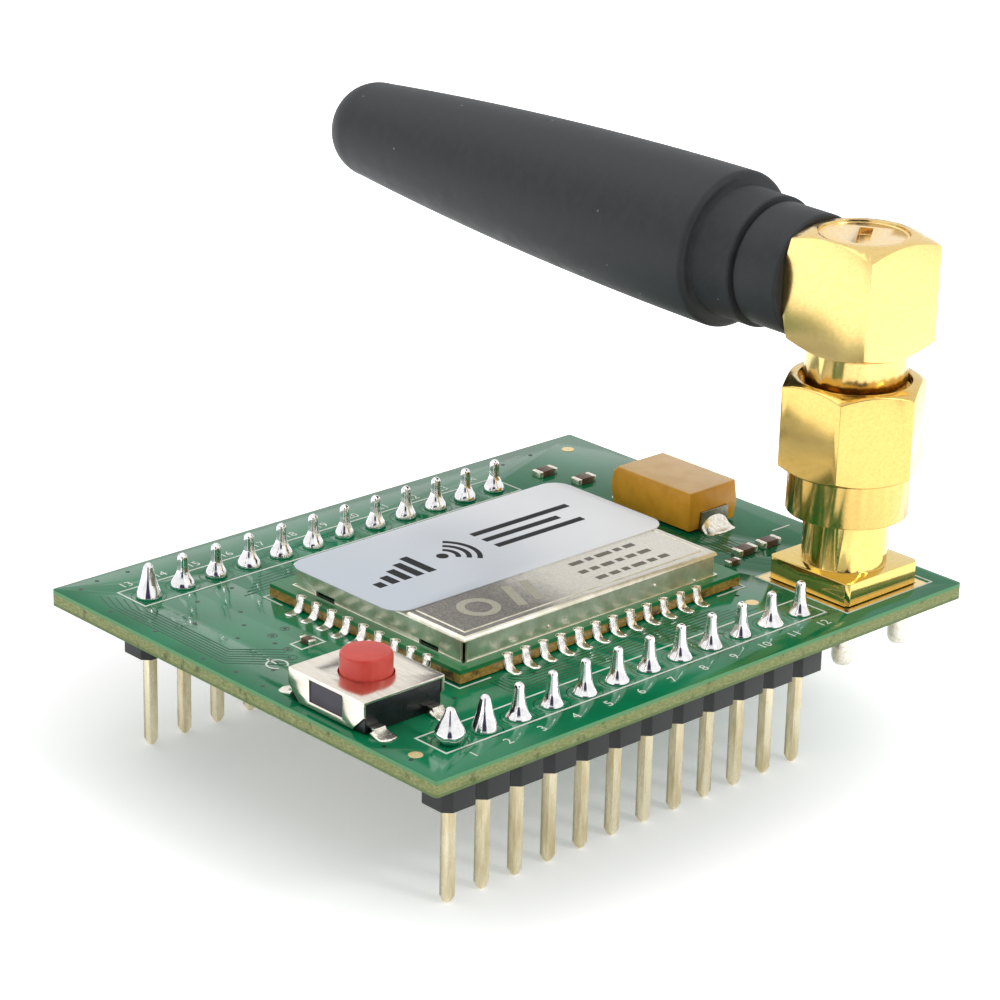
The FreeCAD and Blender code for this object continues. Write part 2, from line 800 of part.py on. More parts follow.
def makeElbow():
    """Square block with turned ends, a round neck that carries the nut, the plug's body and
    sleeve below it, and a spigot for the antenna on its +Y side."""
    cornerRadius = math.hypot(elbowWidth, elbowDepth) / 2
    drop = (cornerRadius - elbowChamferRadius) * elbowChamferSlope
    block = centredBox(jackX, jackY, elbowWidth, elbowDepth, elbowBottom, elbowTop)
    envelope = turned([(0, elbowBottom), (elbowChamferRadius, elbowBottom),
                       (cornerRadius, elbowBottom + drop), (cornerRadius, elbowTop - drop),
                       (elbowChamferRadius, elbowTop), (0, elbowTop)], jackX, jackY)
    block = block.common(envelope)
    half = elbowDepth / 2
    reach = elbowHeight
    sideDrop = (reach - sideChamferRadius) * elbowChamferSlope
    outline = [(0, -half), (reach, -half), (reach, half - sideDrop), (sideChamferRadius, half),
               (0, half)]
    side = turnedAlongY(polyline(outline + outline[:1]), jackX, jackY, antennaZ)
    block = block.common(side)
    sleeveLow = jackFace + sleeveGap
    grooveRadius = ringInnerRadius - runningClearance
    lipFloor = nutTop - nutLipDepth + 2 * ringPlay
    plug = turned([(0, sleeveLow), (sleeveRadius, sleeveLow), (sleeveRadius, jackTop + sleeveGap),
                   (plugBodyRadius, jackTop + 2 * sleeveGap),
                   (plugBodyRadius, ringBottom - ringPlay), (grooveRadius, ringBottom - ringPlay),
                   (grooveRadius, ringTop + ringPlay), (plugBodyRadius, ringTop + ringPlay),
                   (plugBodyRadius, lipFloor), (neckRadius, lipFloor),
                   (neckRadius, elbowBottom), (0, elbowBottom)], jackX, jackY)
    spigot = Part.makeCylinder(spigotRadius, spigotLength,
                               FreeCAD.Vector(jackX, jackY + half, antennaZ),
                               FreeCAD.Vector(0, 1, 0))
    body = union([block, plug, spigot])
    sleeveBore = cylinder(jackX, jackY, sleeveBoreRadius, sleeveLow, jackTop + 2 * sleeveGap)
    core = cylinder(jackX, jackY, elbowBoreRadius, sleeveLow, elbowTop)
    seat = cylinder(jackX, jackY, capDiscRadius + capDiscRim - capDiscDrop,
                    elbowTop - capDiscThickness - capDiscDrop, elbowTop)
    return body.cut([sleeveBore, core, seat, sideRod(sideBoreRadius)])


def sideRod(radius):
    """Round bar from the elbow's middle to the end of its spigot."""
    length = elbowDepth / 2 + spigotLength
    return Part.makeCylinder(radius, length, FreeCAD.Vector(jackX, jackY, antennaZ),
                             FreeCAD.Vector(0, 1, 0))


def makeElbowCap():
    radius = capDiscRadius + capDiscRim - capDiscDrop
    high = elbowTop - capDiscDrop
    low = elbowTop - capDiscDrop - capDiscThickness
    disc = cylinder(jackX, jackY, radius, low, high)
    trough = cylinder(jackX, jackY, capDiscRadius - capDiscRim + capDiscDrop,
                      high - capDiscDrop / 2, high)
    rim = cylinder(jackX, jackY, capDiscRadius, high - capDiscDrop / 2, high)
    slot = centredBox(-capSlotShift, 0, capSlotLength, capSlotWidth, high - capSlotDepth, high)
    slot.rotate(FreeCAD.Vector(0, 0, 0), FreeCAD.Vector(0, 0, 1), capSlotTurn)
    slot.translate(FreeCAD.Vector(jackX, jackY, 0))
    return disc.cut([rim.cut(trough), slot])


def makeElbowInsulator():
    """Plastic core of the plug and elbow, round the centre pin and its side branch."""
    shoulder = jackTop + 2 * sleeveGap
    low = shoulder - (jackTop - jackFace) / 2
    capUnder = elbowTop - capDiscThickness - capDiscDrop
    core = turned([(0, low), (sleeveBoreRadius, low), (sleeveBoreRadius, shoulder),
                   (elbowBoreRadius, shoulder), (elbowBoreRadius, capUnder), (0, capUnder)],
                  jackX, jackY)
    core = union([core, sideRod(sideBoreRadius)])
    return core.cut(makePlugPin())


def makePlugPin():
    """Centre conductor: a pin that enters the jack, turned into the antenna's side branch."""
    low = jackFace + sleeveGap - plugPinReach
    pin = cylinder(jackX, jackY, plugPinRadius, low, antennaZ)
    joint = Part.makeSphere(plugPinRadius, FreeCAD.Vector(jackX, jackY, antennaZ))
    return union([pin, joint, sideRod(plugPinRadius)])


# Antenna

def makeSheath():
    """Moulded rubber rod: a collar at the elbow, a groove, a step, a swollen body, a round tip.
    It leans up a little from the elbow, while its bore follows the spigot and the coil."""
    start = elbowDepth / 2 + sheathGap
    shoulder = sheathLength - sheathTipRounding
    tipFlat = sheathTipRadius - sheathTipRounding
    grooveEnd = sheathCollarEnd + sheathGrooveWidth
    grooveFloor = sheathCollarRadius - sheathGrooveDepth
    # Short cones that follow a straight taper plus a low hump, highest half way
    body = []
    for section in range(sheathSections + 1):
        share = section / sheathSections
        swell = 4 * sheathSwell * share * (1 - share)
        body.append(((1 - share) * sheathRootRadius + share * sheathTipRadius + swell,
                     (1 - share) * (sheathStepEnd + sheathEdge) + share * shoulder))
    lead = sheathCollarRadius * math.sin(math.radians(sheathLean))
    near = [(0, start - lead), (sheathCollarRadius - sheathCollarEdge, start - lead),
            (sheathCollarRadius, start + sheathCollarEdge), (sheathCollarRadius, sheathCollarEnd),
            (grooveFloor, sheathCollarEnd), (grooveFloor, grooveEnd),
            (sheathStepRadius, grooveEnd), (sheathStepRadius, sheathStepEnd),
            (sheathRootRadius - sheathEdge, sheathStepEnd)]
    edges = polyline(near)
    edges.append(quarterRound(near[-1], body[0], (near[-1][0], body[0][1])))
    edges += polyline(body)
    edges.append(quarterRound(body[-1], (tipFlat, sheathLength), (tipFlat, shoulder)))
    edges += polyline([(tipFlat, sheathLength), (0, sheathLength), near[0]])
    rod = turnedAlongY(edges, jackX, jackY, antennaZ)
    foot = FreeCAD.Vector(jackX, jackY + start, antennaZ)
    rod.rotate(foot, FreeCAD.Vector(1, 0, 0), sheathLean)
    reach = 2 * sheathCollarRadius
    overrun = box(jackX - reach, jackX + reach, jackY + start - reach, jackY + start,
                  antennaZ - reach, antennaZ + reach)
    boreLength = spigotLength - sheathGap + coilLength + 2 * (coilWireRadius + coilClearance)
    bore = Part.makeCylinder(spigotRadius + sheathGap, boreLength, foot, FreeCAD.Vector(0, 1, 0))
    return rod.cut([overrun, bore])


def makeCoil():
    """Helix of round wire along +Y, laid as short straight runs between six-sided sections."""
    start = elbowDepth / 2 + spigotLength + coilWireRadius + coilClearance
    steps = int(coilTurns * coilStepsPerTurn)
    sections = []
    for step in range(steps + 1):
        turn = 2 * math.pi * step / coilStepsPerTurn
        outward = FreeCAD.Vector(math.cos(turn), 0, math.sin(turn))
        centre = outward * coilRadius + FreeCAD.Vector(0, step * coilLength / steps, 0)
        corners = []
        for index in range(6):
            angle = index * math.pi / 3
            corners.append(centre + outward * coilWireRadius * math.cos(angle)
                           + FreeCAD.Vector(0, coilWireRadius * math.sin(angle), 0))
        sections.append(Part.makePolygon(corners + corners[:1]))
    coil = Part.makeLoft(sections, True, True)
    coil.translate(FreeCAD.Vector(jackX, jackY + start, antennaZ))
    return coil


# Card holder under the board

holderX = boardLeft + holderFromLeft + holderLength / 2
holderY = (frontRow + backRow) / 2
holderLow = boardBottom - holderHeight


def makeHolderShell():
    """Folded metal cover, open at its -X mouth and towards the board, with a window."""
    shell = centredBox(holderX, holderY, holderLength, holderWidth, holderLow, boardBottom)
    inside = box(holderX - holderLength / 2, holderX + holderLength / 2 - holderSheet,
                 holderY - holderWidth / 2 + holderSheet, holderY + holderWidth / 2 - holderSheet,
                 holderLow + holderSheet, boardBottom)
    window = centredBox(holderX + holderSheet, holderY, holderWindow, holderWindow,
                        holderLow, holderLow + holderSheet)
    return shell.cut([inside, window])


def contactPlaces():
    return [(x, y) for x in evenPlaces(holderX, 2, holderRowSpacing)
            for y in evenPlaces(holderY, 3, holderContactPitch)]


def makeHolderBase():
    length = holderLength - holderSheet
    base = box(holderX - holderLength / 2, holderX - holderLength / 2 + length,
               holderY - holderWidth / 2 + holderSheet, holderY + holderWidth / 2 - holderSheet,
               boardBottom - holderBaseHeight, boardBottom)
    slots = [centredBox(x, y, holderContactLength, holderContactWidth + 2 * runningClearance,
                        boardBottom - holderBaseHeight, boardBottom)
             for x, y in contactPlaces()]
    return base.cut(slots)


def makeHolderContacts():
    """Six bent spring blades that stand in slots of the base and press on a card."""
    half = holderContactLength / 2
    low = boardBottom
    sheet = terminalSheet
    profile = [(-half, low - sheet), (-half, low), (-half / 2, low),
               (half - sheet, low - holderBaseHeight - holderContactRise / 2 + sheet),
               (half, low - holderBaseHeight), (half, low - holderBaseHeight - sheet),
               (half - sheet, low - holderBaseHeight - holderContactRise / 2),
               (-half / 2 - sheet / 2, low - sheet)]
    return Part.makeCompound([sideProfile(profile, holderContactWidth, x, y, 0)
                              for x, y in contactPlaces()])


def makeModel():
    keep("main_board", makeBoard())
    for side, row in (("front", frontRow), ("back", backRow)):
        keep("%s_header_strip" % side, makeStrip(row))
        for index, (x, y) in enumerate(pinPlaces(row)):
            keep("%s_pin_%02d" % (side, index + 1), makePin(x, y))
        keep("%s_pin_solder" % side,
             Part.makeCompound([makeSolderCone(x, y) for x, y in pinPlaces(row)]))
    keep("module_board", makeModuleBoard())
    keep("module_solder", makeModuleSolder())
    keep("shield_can", makeCan())
    keep("can_label", makeLabel())
    inside = canLength / 2 - canSheet
    keep("modem_chip", makeHiddenChip(canX - inside + modemChipGap + modemChipSide / 2,
                                      modemChipSide, modemChipHeight))
    keep("power_chip", makeHiddenChip(canX + inside - powerChipGap - powerChipSide / 2,
                                      powerChipSide, powerChipHeight))
    keep("switch_base", makeSwitchBase())
    keep("switch_cover", makeSwitchCover())
    keep("switch_button", makeButton())
    keep("switch_dome", makeDome())
    keep("switch_terminals", makeTerminals())
    keep("capacitor_body", makeCapacitorBody())
    keep("capacitor_terminals", makeCapacitorTerminals())
    keep("surface_solder", makeSurfaceSolder())
    chipBodies, chipEnds = makeChips()
    keep("chip_bodies", chipBodies)
    keep("chip_ends", chipEnds)
    keep("jack_body", makeJackBody())
    keep("jack_insulator", makeJackInsulator())
    keep("jack_contact", makeJackContact())
    keep("jack_solder", makeJackSolder())
    keep("coupling_nut", makeNut())
    keep("retaining_ring", makeRing())
    keep("elbow_body", makeElbow())
    keep("elbow_cap", makeElbowCap())
    keep("elbow_insulator", makeElbowInsulator())
    keep("plug_pin", makePlugPin())
    keep("antenna_sheath", makeSheath())
    keep("antenna_coil", makeCoil())
    keep("holder_shell", makeHolderShell())
    keep("holder_base", makeHolderBase())
    keep("holder_contacts", makeHolderContacts())


makeModel()
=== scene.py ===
import math

import bmesh
import bpy
import numpy as np
from mathutils import Matrix


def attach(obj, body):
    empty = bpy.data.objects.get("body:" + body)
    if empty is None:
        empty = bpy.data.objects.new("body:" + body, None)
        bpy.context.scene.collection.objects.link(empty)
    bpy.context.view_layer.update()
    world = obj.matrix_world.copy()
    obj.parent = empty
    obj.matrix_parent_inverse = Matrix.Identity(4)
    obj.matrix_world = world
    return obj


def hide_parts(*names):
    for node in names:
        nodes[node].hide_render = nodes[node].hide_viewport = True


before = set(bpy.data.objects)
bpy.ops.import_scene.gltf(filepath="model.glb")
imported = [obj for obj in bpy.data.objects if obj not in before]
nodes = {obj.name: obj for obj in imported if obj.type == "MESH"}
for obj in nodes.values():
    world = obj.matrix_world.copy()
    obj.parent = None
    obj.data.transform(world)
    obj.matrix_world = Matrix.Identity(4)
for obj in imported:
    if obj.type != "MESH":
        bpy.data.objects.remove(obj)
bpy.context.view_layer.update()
mm = 0.001
rng = np.random.default_rng(24)
print("stage: frame loaded,", len(nodes), "CAD nodes")

# Places that the pieces share, in millimetres: x along the pin rows, y across them, z up from
# the floor. canBox is x0, x1, y0, y1 of the can's walls, and print lies sink deep in its surface
place = {
    "pinCount": 12,
    "pinPitch": 2.54,
    "rowY": 13.335,
    "boardTop": 9.64,
    "boardBottom": 8.64,
    "moduleCentre": (2.83, 0.215),
    "moduleSize": (22.8, 16.8),
    "moduleBottom": 9.74,
    "moduleTop": 10.54,
    "canTop": 12.14,
    "canBox": (-7.77, 12.83, -7.585, 7.415),
    "labelTop": 12.22,
    "jack": (19.82, -11.535),
    "antennaZ": 28.09,
    "sink": 0.002,
}
top, under, sink = place["boardTop"], place["boardBottom"], place["sink"]
white = (1.0, 1.0, 1.0, 1.0)


# Screen colour 0-255 as linear light: below 0.04045 a straight line, above it a 2.4 power
def linear(r, g, b):
    c = np.array([r, g, b]) / 255.0
    return tuple(np.where(c <= 0.04045, c / 12.92, ((c + 0.055) / 1.055) ** 2.4)) + (1.0,)


# A shader node with its settings; an input that is a socket is linked, any other is set
def addNode(tree, kind, inputs=None, **settings):
    made = tree.nodes.new(kind)
    for key, value in settings.items():
        setattr(made, key, value)
    for key, value in (inputs or {}).items():
        setInput(tree, made.inputs[key], value)
    return made


# A socket links to the input, a plain value is written on it
def setInput(tree, entry, value):
    if isinstance(value, bpy.types.NodeSocket):
        tree.links.new(value, entry)
    else:
        entry.default_value = value


# A new finish: its Principled shader with the even values set straight on its sockets
def newFinish(name, roughness, metallic=0.0, **sockets):
    finish = bpy.data.materials.new(name)
    finish.use_nodes = True
    tree = finish.node_tree
    shader = tree.nodes["Principled BSDF"]
    shader.inputs["Roughness"].default_value = roughness
    shader.inputs["Metallic"].default_value = metallic
    for key, value in sockets.items():
        shader.inputs[key.replace("_", " ")].default_value = value
    where = addNode(tree, "ShaderNodeTexCoord").outputs["Object"]
    return finish, tree, shader, where


# Soft noise whose grains are about size millimetres across, stretched along an axis if asked
def noise(tree, where, size, detail=3.0, rough=0.55, stretch=None):
    if stretch:
        where = addNode(tree, "ShaderNodeMapping", {"Vector": where, "Scale": stretch}).outputs[0]
    made = addNode(tree, "ShaderNodeTexNoise", {"Vector": where, "Scale": 1.0 / (size * mm),
                                                "Detail": detail, "Roughness": rough})
    return made.outputs["Fac"]


# 0 below low, 1 above high, smooth between
def ramp(tree, value, low, high):
    return addNode(tree, "ShaderNodeMapRange", {"Value": value, "From Min": low, "From Max": high},
                   interpolation_type="SMOOTHSTEP").outputs["Result"]


# Noise, which mostly lies between 0.3 and 0.7, stretched evenly to low and high
def spread(tree, value, low, high):
    return addNode(tree, "ShaderNodeMapRange", {"Value": value, "From Min": 0.3, "From Max": 0.7,
                                                "To Min": low, "To Max": high}).outputs["Result"]


# First times one minus the factor, plus second times the factor
def mixColour(tree, factor, first, second):
    made = tree.nodes.new("ShaderNodeMix")
    made.data_type = "RGBA"
    for index, value in ((0, factor), (6, first), (7, second)):
        setInput(tree, made.inputs[index], value)
    return made.outputs[2]


# Two screen colours: the first where the value is below low, the second above high
def twoTone(tree, value, low, high, first, second):
    return mixColour(tree, ramp(tree, value, low, high), linear(*first), linear(*second))


# One arithmetic step on two values
def math2(tree, operation, a, b=0.0):
    return addNode(tree, "ShaderNodeMath", {0: a, 1: b}, operation=operation).outputs[0]


# The product of two values
def times(tree, a, b):
    return math2(tree, "MULTIPLY", a, b)


# Dot product with a fixed vector, or distance from it
def vector2(tree, operation, a, b):
    return addNode(tree, "ShaderNodeVectorMath", {0: a, 1: b}, operation=operation).outputs["Value"]


# Relief: a height from 0 to 1 times its depth in millimetres tilts the shading
def addBump(tree, shader, height, depth, strength):
    made = addNode(tree, "ShaderNodeBump", {"Height": height, "Distance": depth * mm,
                                            "Strength": strength})
    tree.links.new(made.outputs[0], shader.inputs["Normal"])


# One coordinate of a vector
def axisOf(tree, where, axis):
    return addNode(tree, "ShaderNodeSeparateXYZ", {0: where}).outputs[axis]


# How far the face looks along an axis: the coordinate of its own direction, -1 to 1
def facing(tree, axis):
    geometry = addNode(tree, "ShaderNodeNewGeometry").outputs["True Normal"]
    return axisOf(tree, geometry, axis)


# 1 on faces that look up or down, 0 on upright ones
def flatness(tree):
    return ramp(tree, math2(tree, "ABSOLUTE", facing(tree, 2)), 0.4, 0.6)


# An object, linked to the scene's own collection
def newObject(name, data):
    made = bpy.data.objects.new(name, data)
    bpy.context.scene.collection.objects.link(made)
    return made


# A mesh of points in millimetres, which rides on its body and names its material slot
def addPiece(name, vertices, faces, finish, body, smooth=True):
    mesh = bpy.data.meshes.new(name)
    mesh.from_pydata(np.asarray(vertices, float) * mm, [], faces)
    mesh.validate()
    mesh.polygons.foreach_set("use_smooth", np.full(len(mesh.polygons), smooth))
    mesh.materials.append(finish)
    mesh.update()
    piece = newObject(name, mesh)
    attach(piece, body)
    return piece


# Quads of a grid of rows x columns points. The columns wrap round. The rows do too if loop, or
# else one face closes the first row and one the last
def gridFaces(rows, columns, loop=False):
    r = np.arange(rows if loop else rows - 1)[:, None]
    c = np.arange(columns)[None, :]
    nextRow = (r + 1) % rows
    nextColumn = (c + 1) % columns
    quads = np.stack([r * columns + c, r * columns + nextColumn,
                      nextRow * columns + nextColumn, nextRow * columns + c], -1)
    faces = quads.reshape(-1, 4).tolist()
    if not loop:
        faces.append(list(range(columns))[::-1])
        faces.append(list(range((rows - 1) * columns, rows * columns)))
    return faces


# Many closed parts as one: each part's faces count on from the points before it
def joined(parts):
    vertices, faces, count = [], [], 0
    for v, f in parts:
        vertices.append(v)
        faces += [[i + count for i in face] for face in f]
        count += len(v)
    return np.concatenate(vertices), faces


# One piece on the board made of many parts, in place of a CAD node if one is named
def addJoined(name, parts, finishName, smooth=False, replaced=None):
    vertices, faces = joined(parts)
    piece = addPiece(name, vertices, faces, finishes[finishName], "board", smooth)
    if replaced:
        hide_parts(replaced)


# Surface of revolution: each (radius, height) of the profile goes once round the axis
def turnedGrid(profile, columns, centre, along="z"):
    profile = np.asarray(profile, float)
    angle = np.linspace(0, 2 * np.pi, columns, endpoint=False)
    ringX = profile[:, :1] * np.cos(angle)
    ringY = profile[:, :1] * np.sin(angle)
    height = np.repeat(profile[:, 1:2], columns, 1)
    if along == "z":
        points = np.stack([ringX + centre[0], ringY + centre[1], height + centre[2]], -1)
    else:
        points = np.stack([ringX + centre[0], height + centre[1], -ringY + centre[2]], -1)
    return points.reshape(-1, 3)


# Flat bar of one width along a line of points: at every point the side vector is the mitre of
# the two runs that meet there, and the four corners of the section stand on it
def ribbon(points, width, low, high, loop=False):
    p = np.asarray(points, float)
    ahead = (np.roll(p, -1, 0) - p) if loop else np.diff(p, axis=0)
    ahead /= np.linalg.norm(ahead, axis=1, keepdims=True)
    if loop:
        before = np.roll(ahead, 1, 0)
    else:
        before = np.concatenate([ahead[:1], ahead])
        ahead = np.concatenate([ahead, ahead[-1:]])
    mitre = before + ahead
    mitre /= np.linalg.norm(mitre, axis=1, keepdims=True)
    stretch = 1.0 / np.maximum((mitre * ahead).sum(1), 0.4)
    side = np.stack([mitre[:, 1], -mitre[:, 0]], 1) * (stretch * width / 2)[:, None]
    grid = np.zeros((len(p), 4, 3))
    grid[:, 0, :2] = grid[:, 1, :2] = p + side
    grid[:, 2, :2] = grid[:, 3, :2] = p - side
    grid[:, (0, 3), 2] = low
    grid[:, (1, 2), 2] = high
    faces = [face[::-1] for face in gridFaces(len(p), 4, loop=loop)]
    return grid.reshape(-1, 3), faces


# The same small turned shape at many places
def discs(centres, profile, columns, loop=False):
    profile = np.asarray(profile, float)
    one = turnedGrid(profile, columns, (0, 0, 0))
    faces = gridFaces(len(profile), columns, loop=loop)
    return joined([(one + np.array(c), faces) for c in centres])


# The four corners, against the clock
def rectangle(x0, x1, y0, y1):
    return [(x0, y0), (x1, y0), (x1, y1), (x0, y1)]


# Part of a circle in a plane, angles in degrees
def arcPoints(centre, radius, first, last, count):
    angle = np.radians(np.linspace(first, last, count))
    return np.stack([centre[0] + radius * np.cos(angle), centre[1] + radius * np.sin(angle)], 1)


# Places with one pitch, centred on zero
def evenRow(count, pitch):
    return (np.arange(count) - (count - 1) / 2) * pitch


# A merged copy of a CAD node, its flat faces joined and its sharp edges rounded by a bevel
def nodeCopy(source, name, finish, body, width):
    mesh = nodes[source].data.copy()
    mesh.name = name
    work = bmesh.new()
    work.from_mesh(mesh)
    bmesh.ops.remove_doubles(work, verts=work.verts, dist=2e-7)
    bmesh.ops.dissolve_limit(work, angle_limit=math.radians(0.6), verts=work.verts,
                             edges=work.edges, use_dissolve_boundaries=False)
    work.to_mesh(mesh)
    work.free()
    mesh.materials.clear()
    mesh.materials.append(finish)
    mesh.polygons.foreach_set("use_smooth", np.full(len(mesh.polygons), True))
    piece = newObject(name, mesh)
    bevel = piece.modifiers.new("edges", "BEVEL")
    bevel.width = width * mm
    bevel.segments = 2
    bevel.limit_method = "ANGLE"
    bevel.angle_limit = math.radians(32)
    bevel.miter_outer = "MITER_ARC"
    bevel.harden_normals = True
    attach(piece, body)
    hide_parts(source)


# The finish goes into every material slot of the named CAD nodes
def dress(finish, *names):
    for name in names:
        slots = nodes[name].material_slots
        for index in range(len(slots)):
            slots[index].material = finish


# Green solder mask on the flat faces. On the edges the mask's own rim lies over cut laminate
def boardFinish():
    look = {"mask": (12, 133, 87), "maskDeep": (6, 116, 72), "rim": (108, 172, 120),
            "edge": (138, 150, 90), "edgePale": (184, 190, 134), "edgeDark": (98, 110, 62),
            "edgeLow": (96, 128, 76), "rimEnd": 0.3, "rimStart": 0.16, "lowEnd": 0.24,
            "lowStart": 0.12, "lowShare": 0.7, "rough": 0.12, "edgeRough": 0.55,
            "waves": 0.12, "relief": 0.03}
    finish, tree, shader, where = newFinish("solderMaskGreen", look["rough"],
                                            Specular_IOR_Level=0.36)
    mask = twoTone(tree, noise(tree, where, 7.0, 2.0), 0.35, 0.65, look["maskDeep"], look["mask"])
    fibre = noise(tree, where, 0.3, 4.0, 0.75, (1.0, 1.0, 3.5))
    edge = twoTone(tree, fibre, 0.4, 0.68, look["edge"], look["edgePale"])
    edge = mixColour(tree, ramp(tree, noise(tree, where, 0.8, 4.0, 0.7), 0.52, 0.7), edge,
                     linear(*look["edgeDark"]))
    height = axisOf(tree, where, 2)
    upper = ramp(tree, height, (top - look["rimEnd"]) * mm, (top - look["rimStart"]) * mm)
    lower = ramp(tree, height, (under + look["lowEnd"]) * mm, (under + look["lowStart"]) * mm)
    edge = mixColour(tree, upper, edge, linear(*look["rim"]))
    edge = mixColour(tree, times(tree, lower, look["lowShare"]), edge,
                     linear(*look["edgeLow"]))
    flat = flatness(tree)
    tree.links.new(mixColour(tree, flat, edge, mask), shader.inputs["Base Color"])
    fall = times(tree, flat, look["edgeRough"] - look["rough"])
    tree.links.new(math2(tree, "SUBTRACT", look["edgeRough"], fall), shader.inputs["Roughness"])
    relief = times(tree, fibre, math2(tree, "SUBTRACT", 1.0, flat))
    relief = math2(tree, "ADD", relief,
                   times(tree, noise(tree, where, 1.2, 2.0), look["waves"]))
    addBump(tree, shader, relief, look["relief"], 0.5)
    return finish


# The module's own board: green faces, mustard cut edges under a green upper rim
def laminateFinish():
    look = {"top": (30, 128, 70), "edge": (150, 112, 40), "edgePale": (204, 164, 84),
            "edgeDark": (84, 60, 24), "rimEnd": 0.3, "rimStart": 0.2, "relief": 0.02}
    finish, tree, shader, where = newFinish("moduleLaminate", 0.3)
    grain = noise(tree, where, 0.3, 4.0, 0.7, (1.0, 1.0, 2.2))
    edge = twoTone(tree, grain, 0.35, 0.7, look["edge"], look["edgePale"])
    edge = mixColour(tree, ramp(tree, noise(tree, where, 0.8), 0.52, 0.7), edge,
                     linear(*look["edgeDark"]))
    high = ramp(tree, axisOf(tree, where, 2), (place["moduleTop"] - look["rimEnd"]) * mm,
                (place["moduleTop"] - look["rimStart"]) * mm)
    edge = mixColour(tree, high, edge, linear(*look["top"]))
    tree.links.new(mixColour(tree, flatness(tree), edge, linear(*look["top"])),
                   shader.inputs["Base Color"])
    addBump(tree, shader, grain, look["relief"], 0.5)
    return finish


# Plated metal: two tones in soft clouds, fine scratches, uneven roughness and a few dull specks
def metalFinish(name, tone, darker, roughness, grainSize=0.5, scratch=0.002, spots=0.0,
                stretch=None, uneven=0.1):
    finish, tree, shader, where = newFinish(name, roughness, 1.0)
    cloud = noise(tree, where, grainSize * 0.7, 4.0, 0.7, stretch)
    colour = twoTone(tree, cloud, 0.35, 0.75, tone, darker)
    if spots:
        speck = ramp(tree, noise(tree, where, grainSize * 0.35, 2.0), 0.7, 0.78)
        colour = mixColour(tree, times(tree, speck, spots), colour,
                           linear(*[v * 0.45 for v in darker]))
    tree.links.new(colour, shader.inputs["Base Color"])
    fine = noise(tree, where, grainSize * 0.3, 4.0, 0.65, stretch)
    tree.links.new(spread(tree, fine, max(roughness - uneven / 2, 0.03), roughness + uneven / 2),
                   shader.inputs["Roughness"])
    addBump(tree, shader, fine, scratch, 0.5)
    return finish


# Champagne pins: satin below the board, coated with solder above it
def pinFinish():
    look = {"gold": (244, 234, 204), "goldDark": (214, 198, 156), "coat": (236, 236, 234),
            "coatStart": 0.1, "coatEnd": 0.4, "rough": (0.22, 0.36), "relief": 0.01}
    finish, tree, shader, where = newFinish("pinGold", 0.3, 1.0)
    cloud = noise(tree, where, 0.7, 4.0, 0.65, (1.0, 1.0, 0.2))
    gold = twoTone(tree, cloud, 0.35, 0.7, look["gold"], look["goldDark"])
    coat = ramp(tree, axisOf(tree, where, 2), (top + look["coatStart"]) * mm,
                (top + look["coatEnd"]) * mm)
    tree.links.new(mixColour(tree, coat, gold, linear(*look["coat"])), shader.inputs["Base Color"])
    tree.links.new(spread(tree, cloud, *look["rough"]), shader.inputs["Roughness"])
    addBump(tree, shader, cloud, look["relief"], 0.4)
    return finish


# Moulded plastic: two close tones, a fine moulded grain, and a few specks of dust if asked: a
# speck is a cell's middle within 0.09 of its size, in the share of cells that specks gives
def plasticFinish(name, tone, paler, roughness, grain=0.25, depth=0.004, specks=0.0,
                  speckTone=(190, 190, 190), specular=0.5):
    finish, tree, shader, where = newFinish(name, roughness, 0.0, Specular_IOR_Level=specular)
    cloud = noise(tree, where, grain * 8, 3.0)
    colour = twoTone(tree, cloud, 0.35, 0.7, tone, paler)
    if specks:
        dots = addNode(tree, "ShaderNodeTexVoronoi", {"Vector": where, "Scale": 1 / (0.9 * mm)})
        near = math2(tree, "LESS_THAN", dots.outputs["Distance"], 0.09)
        some = math2(tree, "GREATER_THAN", axisOf(tree, dots.outputs["Color"], 0), 1.0 - specks)
        colour = mixColour(tree, times(tree, near, some), colour, linear(*speckTone))
    tree.links.new(colour, shader.inputs["Base Color"])
    fine = noise(tree, where, grain, 4.0, 0.6)
    tree.links.new(spread(tree, cloud, roughness - 0.05, roughness + 0.05),
                   shader.inputs["Roughness"])
    addBump(tree, shader, fine, depth, 0.6)
    return finish


# Ochre resin with painted light: a paler, pinker top where the light falls, a painted orange
# highlight along the bevelled edge, and a brown band over the bevel at its back end
def capacitorFinish():
    look = {"side": (250, 178, 50), "sideDark": (234, 162, 38), "top": (254, 214, 152),
            "topDark": (246, 202, 136), "slope": (250, 192, 96), "backSlope": (168, 104, 40),
            "relief": 0.006}
    finish, tree, shader, where = newFinish("capacitorResin", 0.4)
    cloud = noise(tree, where, 1.2, 3.0)
    side = twoTone(tree, cloud, 0.35, 0.7, look["side"], look["sideDark"])
    flat = twoTone(tree, cloud, 0.35, 0.7, look["top"], look["topDark"])
    up = facing(tree, 2)
    # Painted light: faces that look up take the paler top colour
    colour = mixColour(tree, ramp(tree, up, 0.75, 0.92), side, flat)
    # Painted highlight: the bevel between the top and the sides takes a bright orange band
    slope = times(tree, ramp(tree, up, 0.2, 0.35), ramp(tree, up, 0.9, 0.75))
    colour = mixColour(tree, slope, colour, linear(*look["slope"]))
    slope = times(tree, slope, ramp(tree, facing(tree, 1), 0.3, 0.5))
    colour = mixColour(tree, slope, colour, linear(*look["backSlope"]))
    tree.links.new(colour, shader.inputs["Base Color"])
    addBump(tree, shader, noise(tree, where, 0.12, 3.0), look["relief"], 0.6)
    return finish


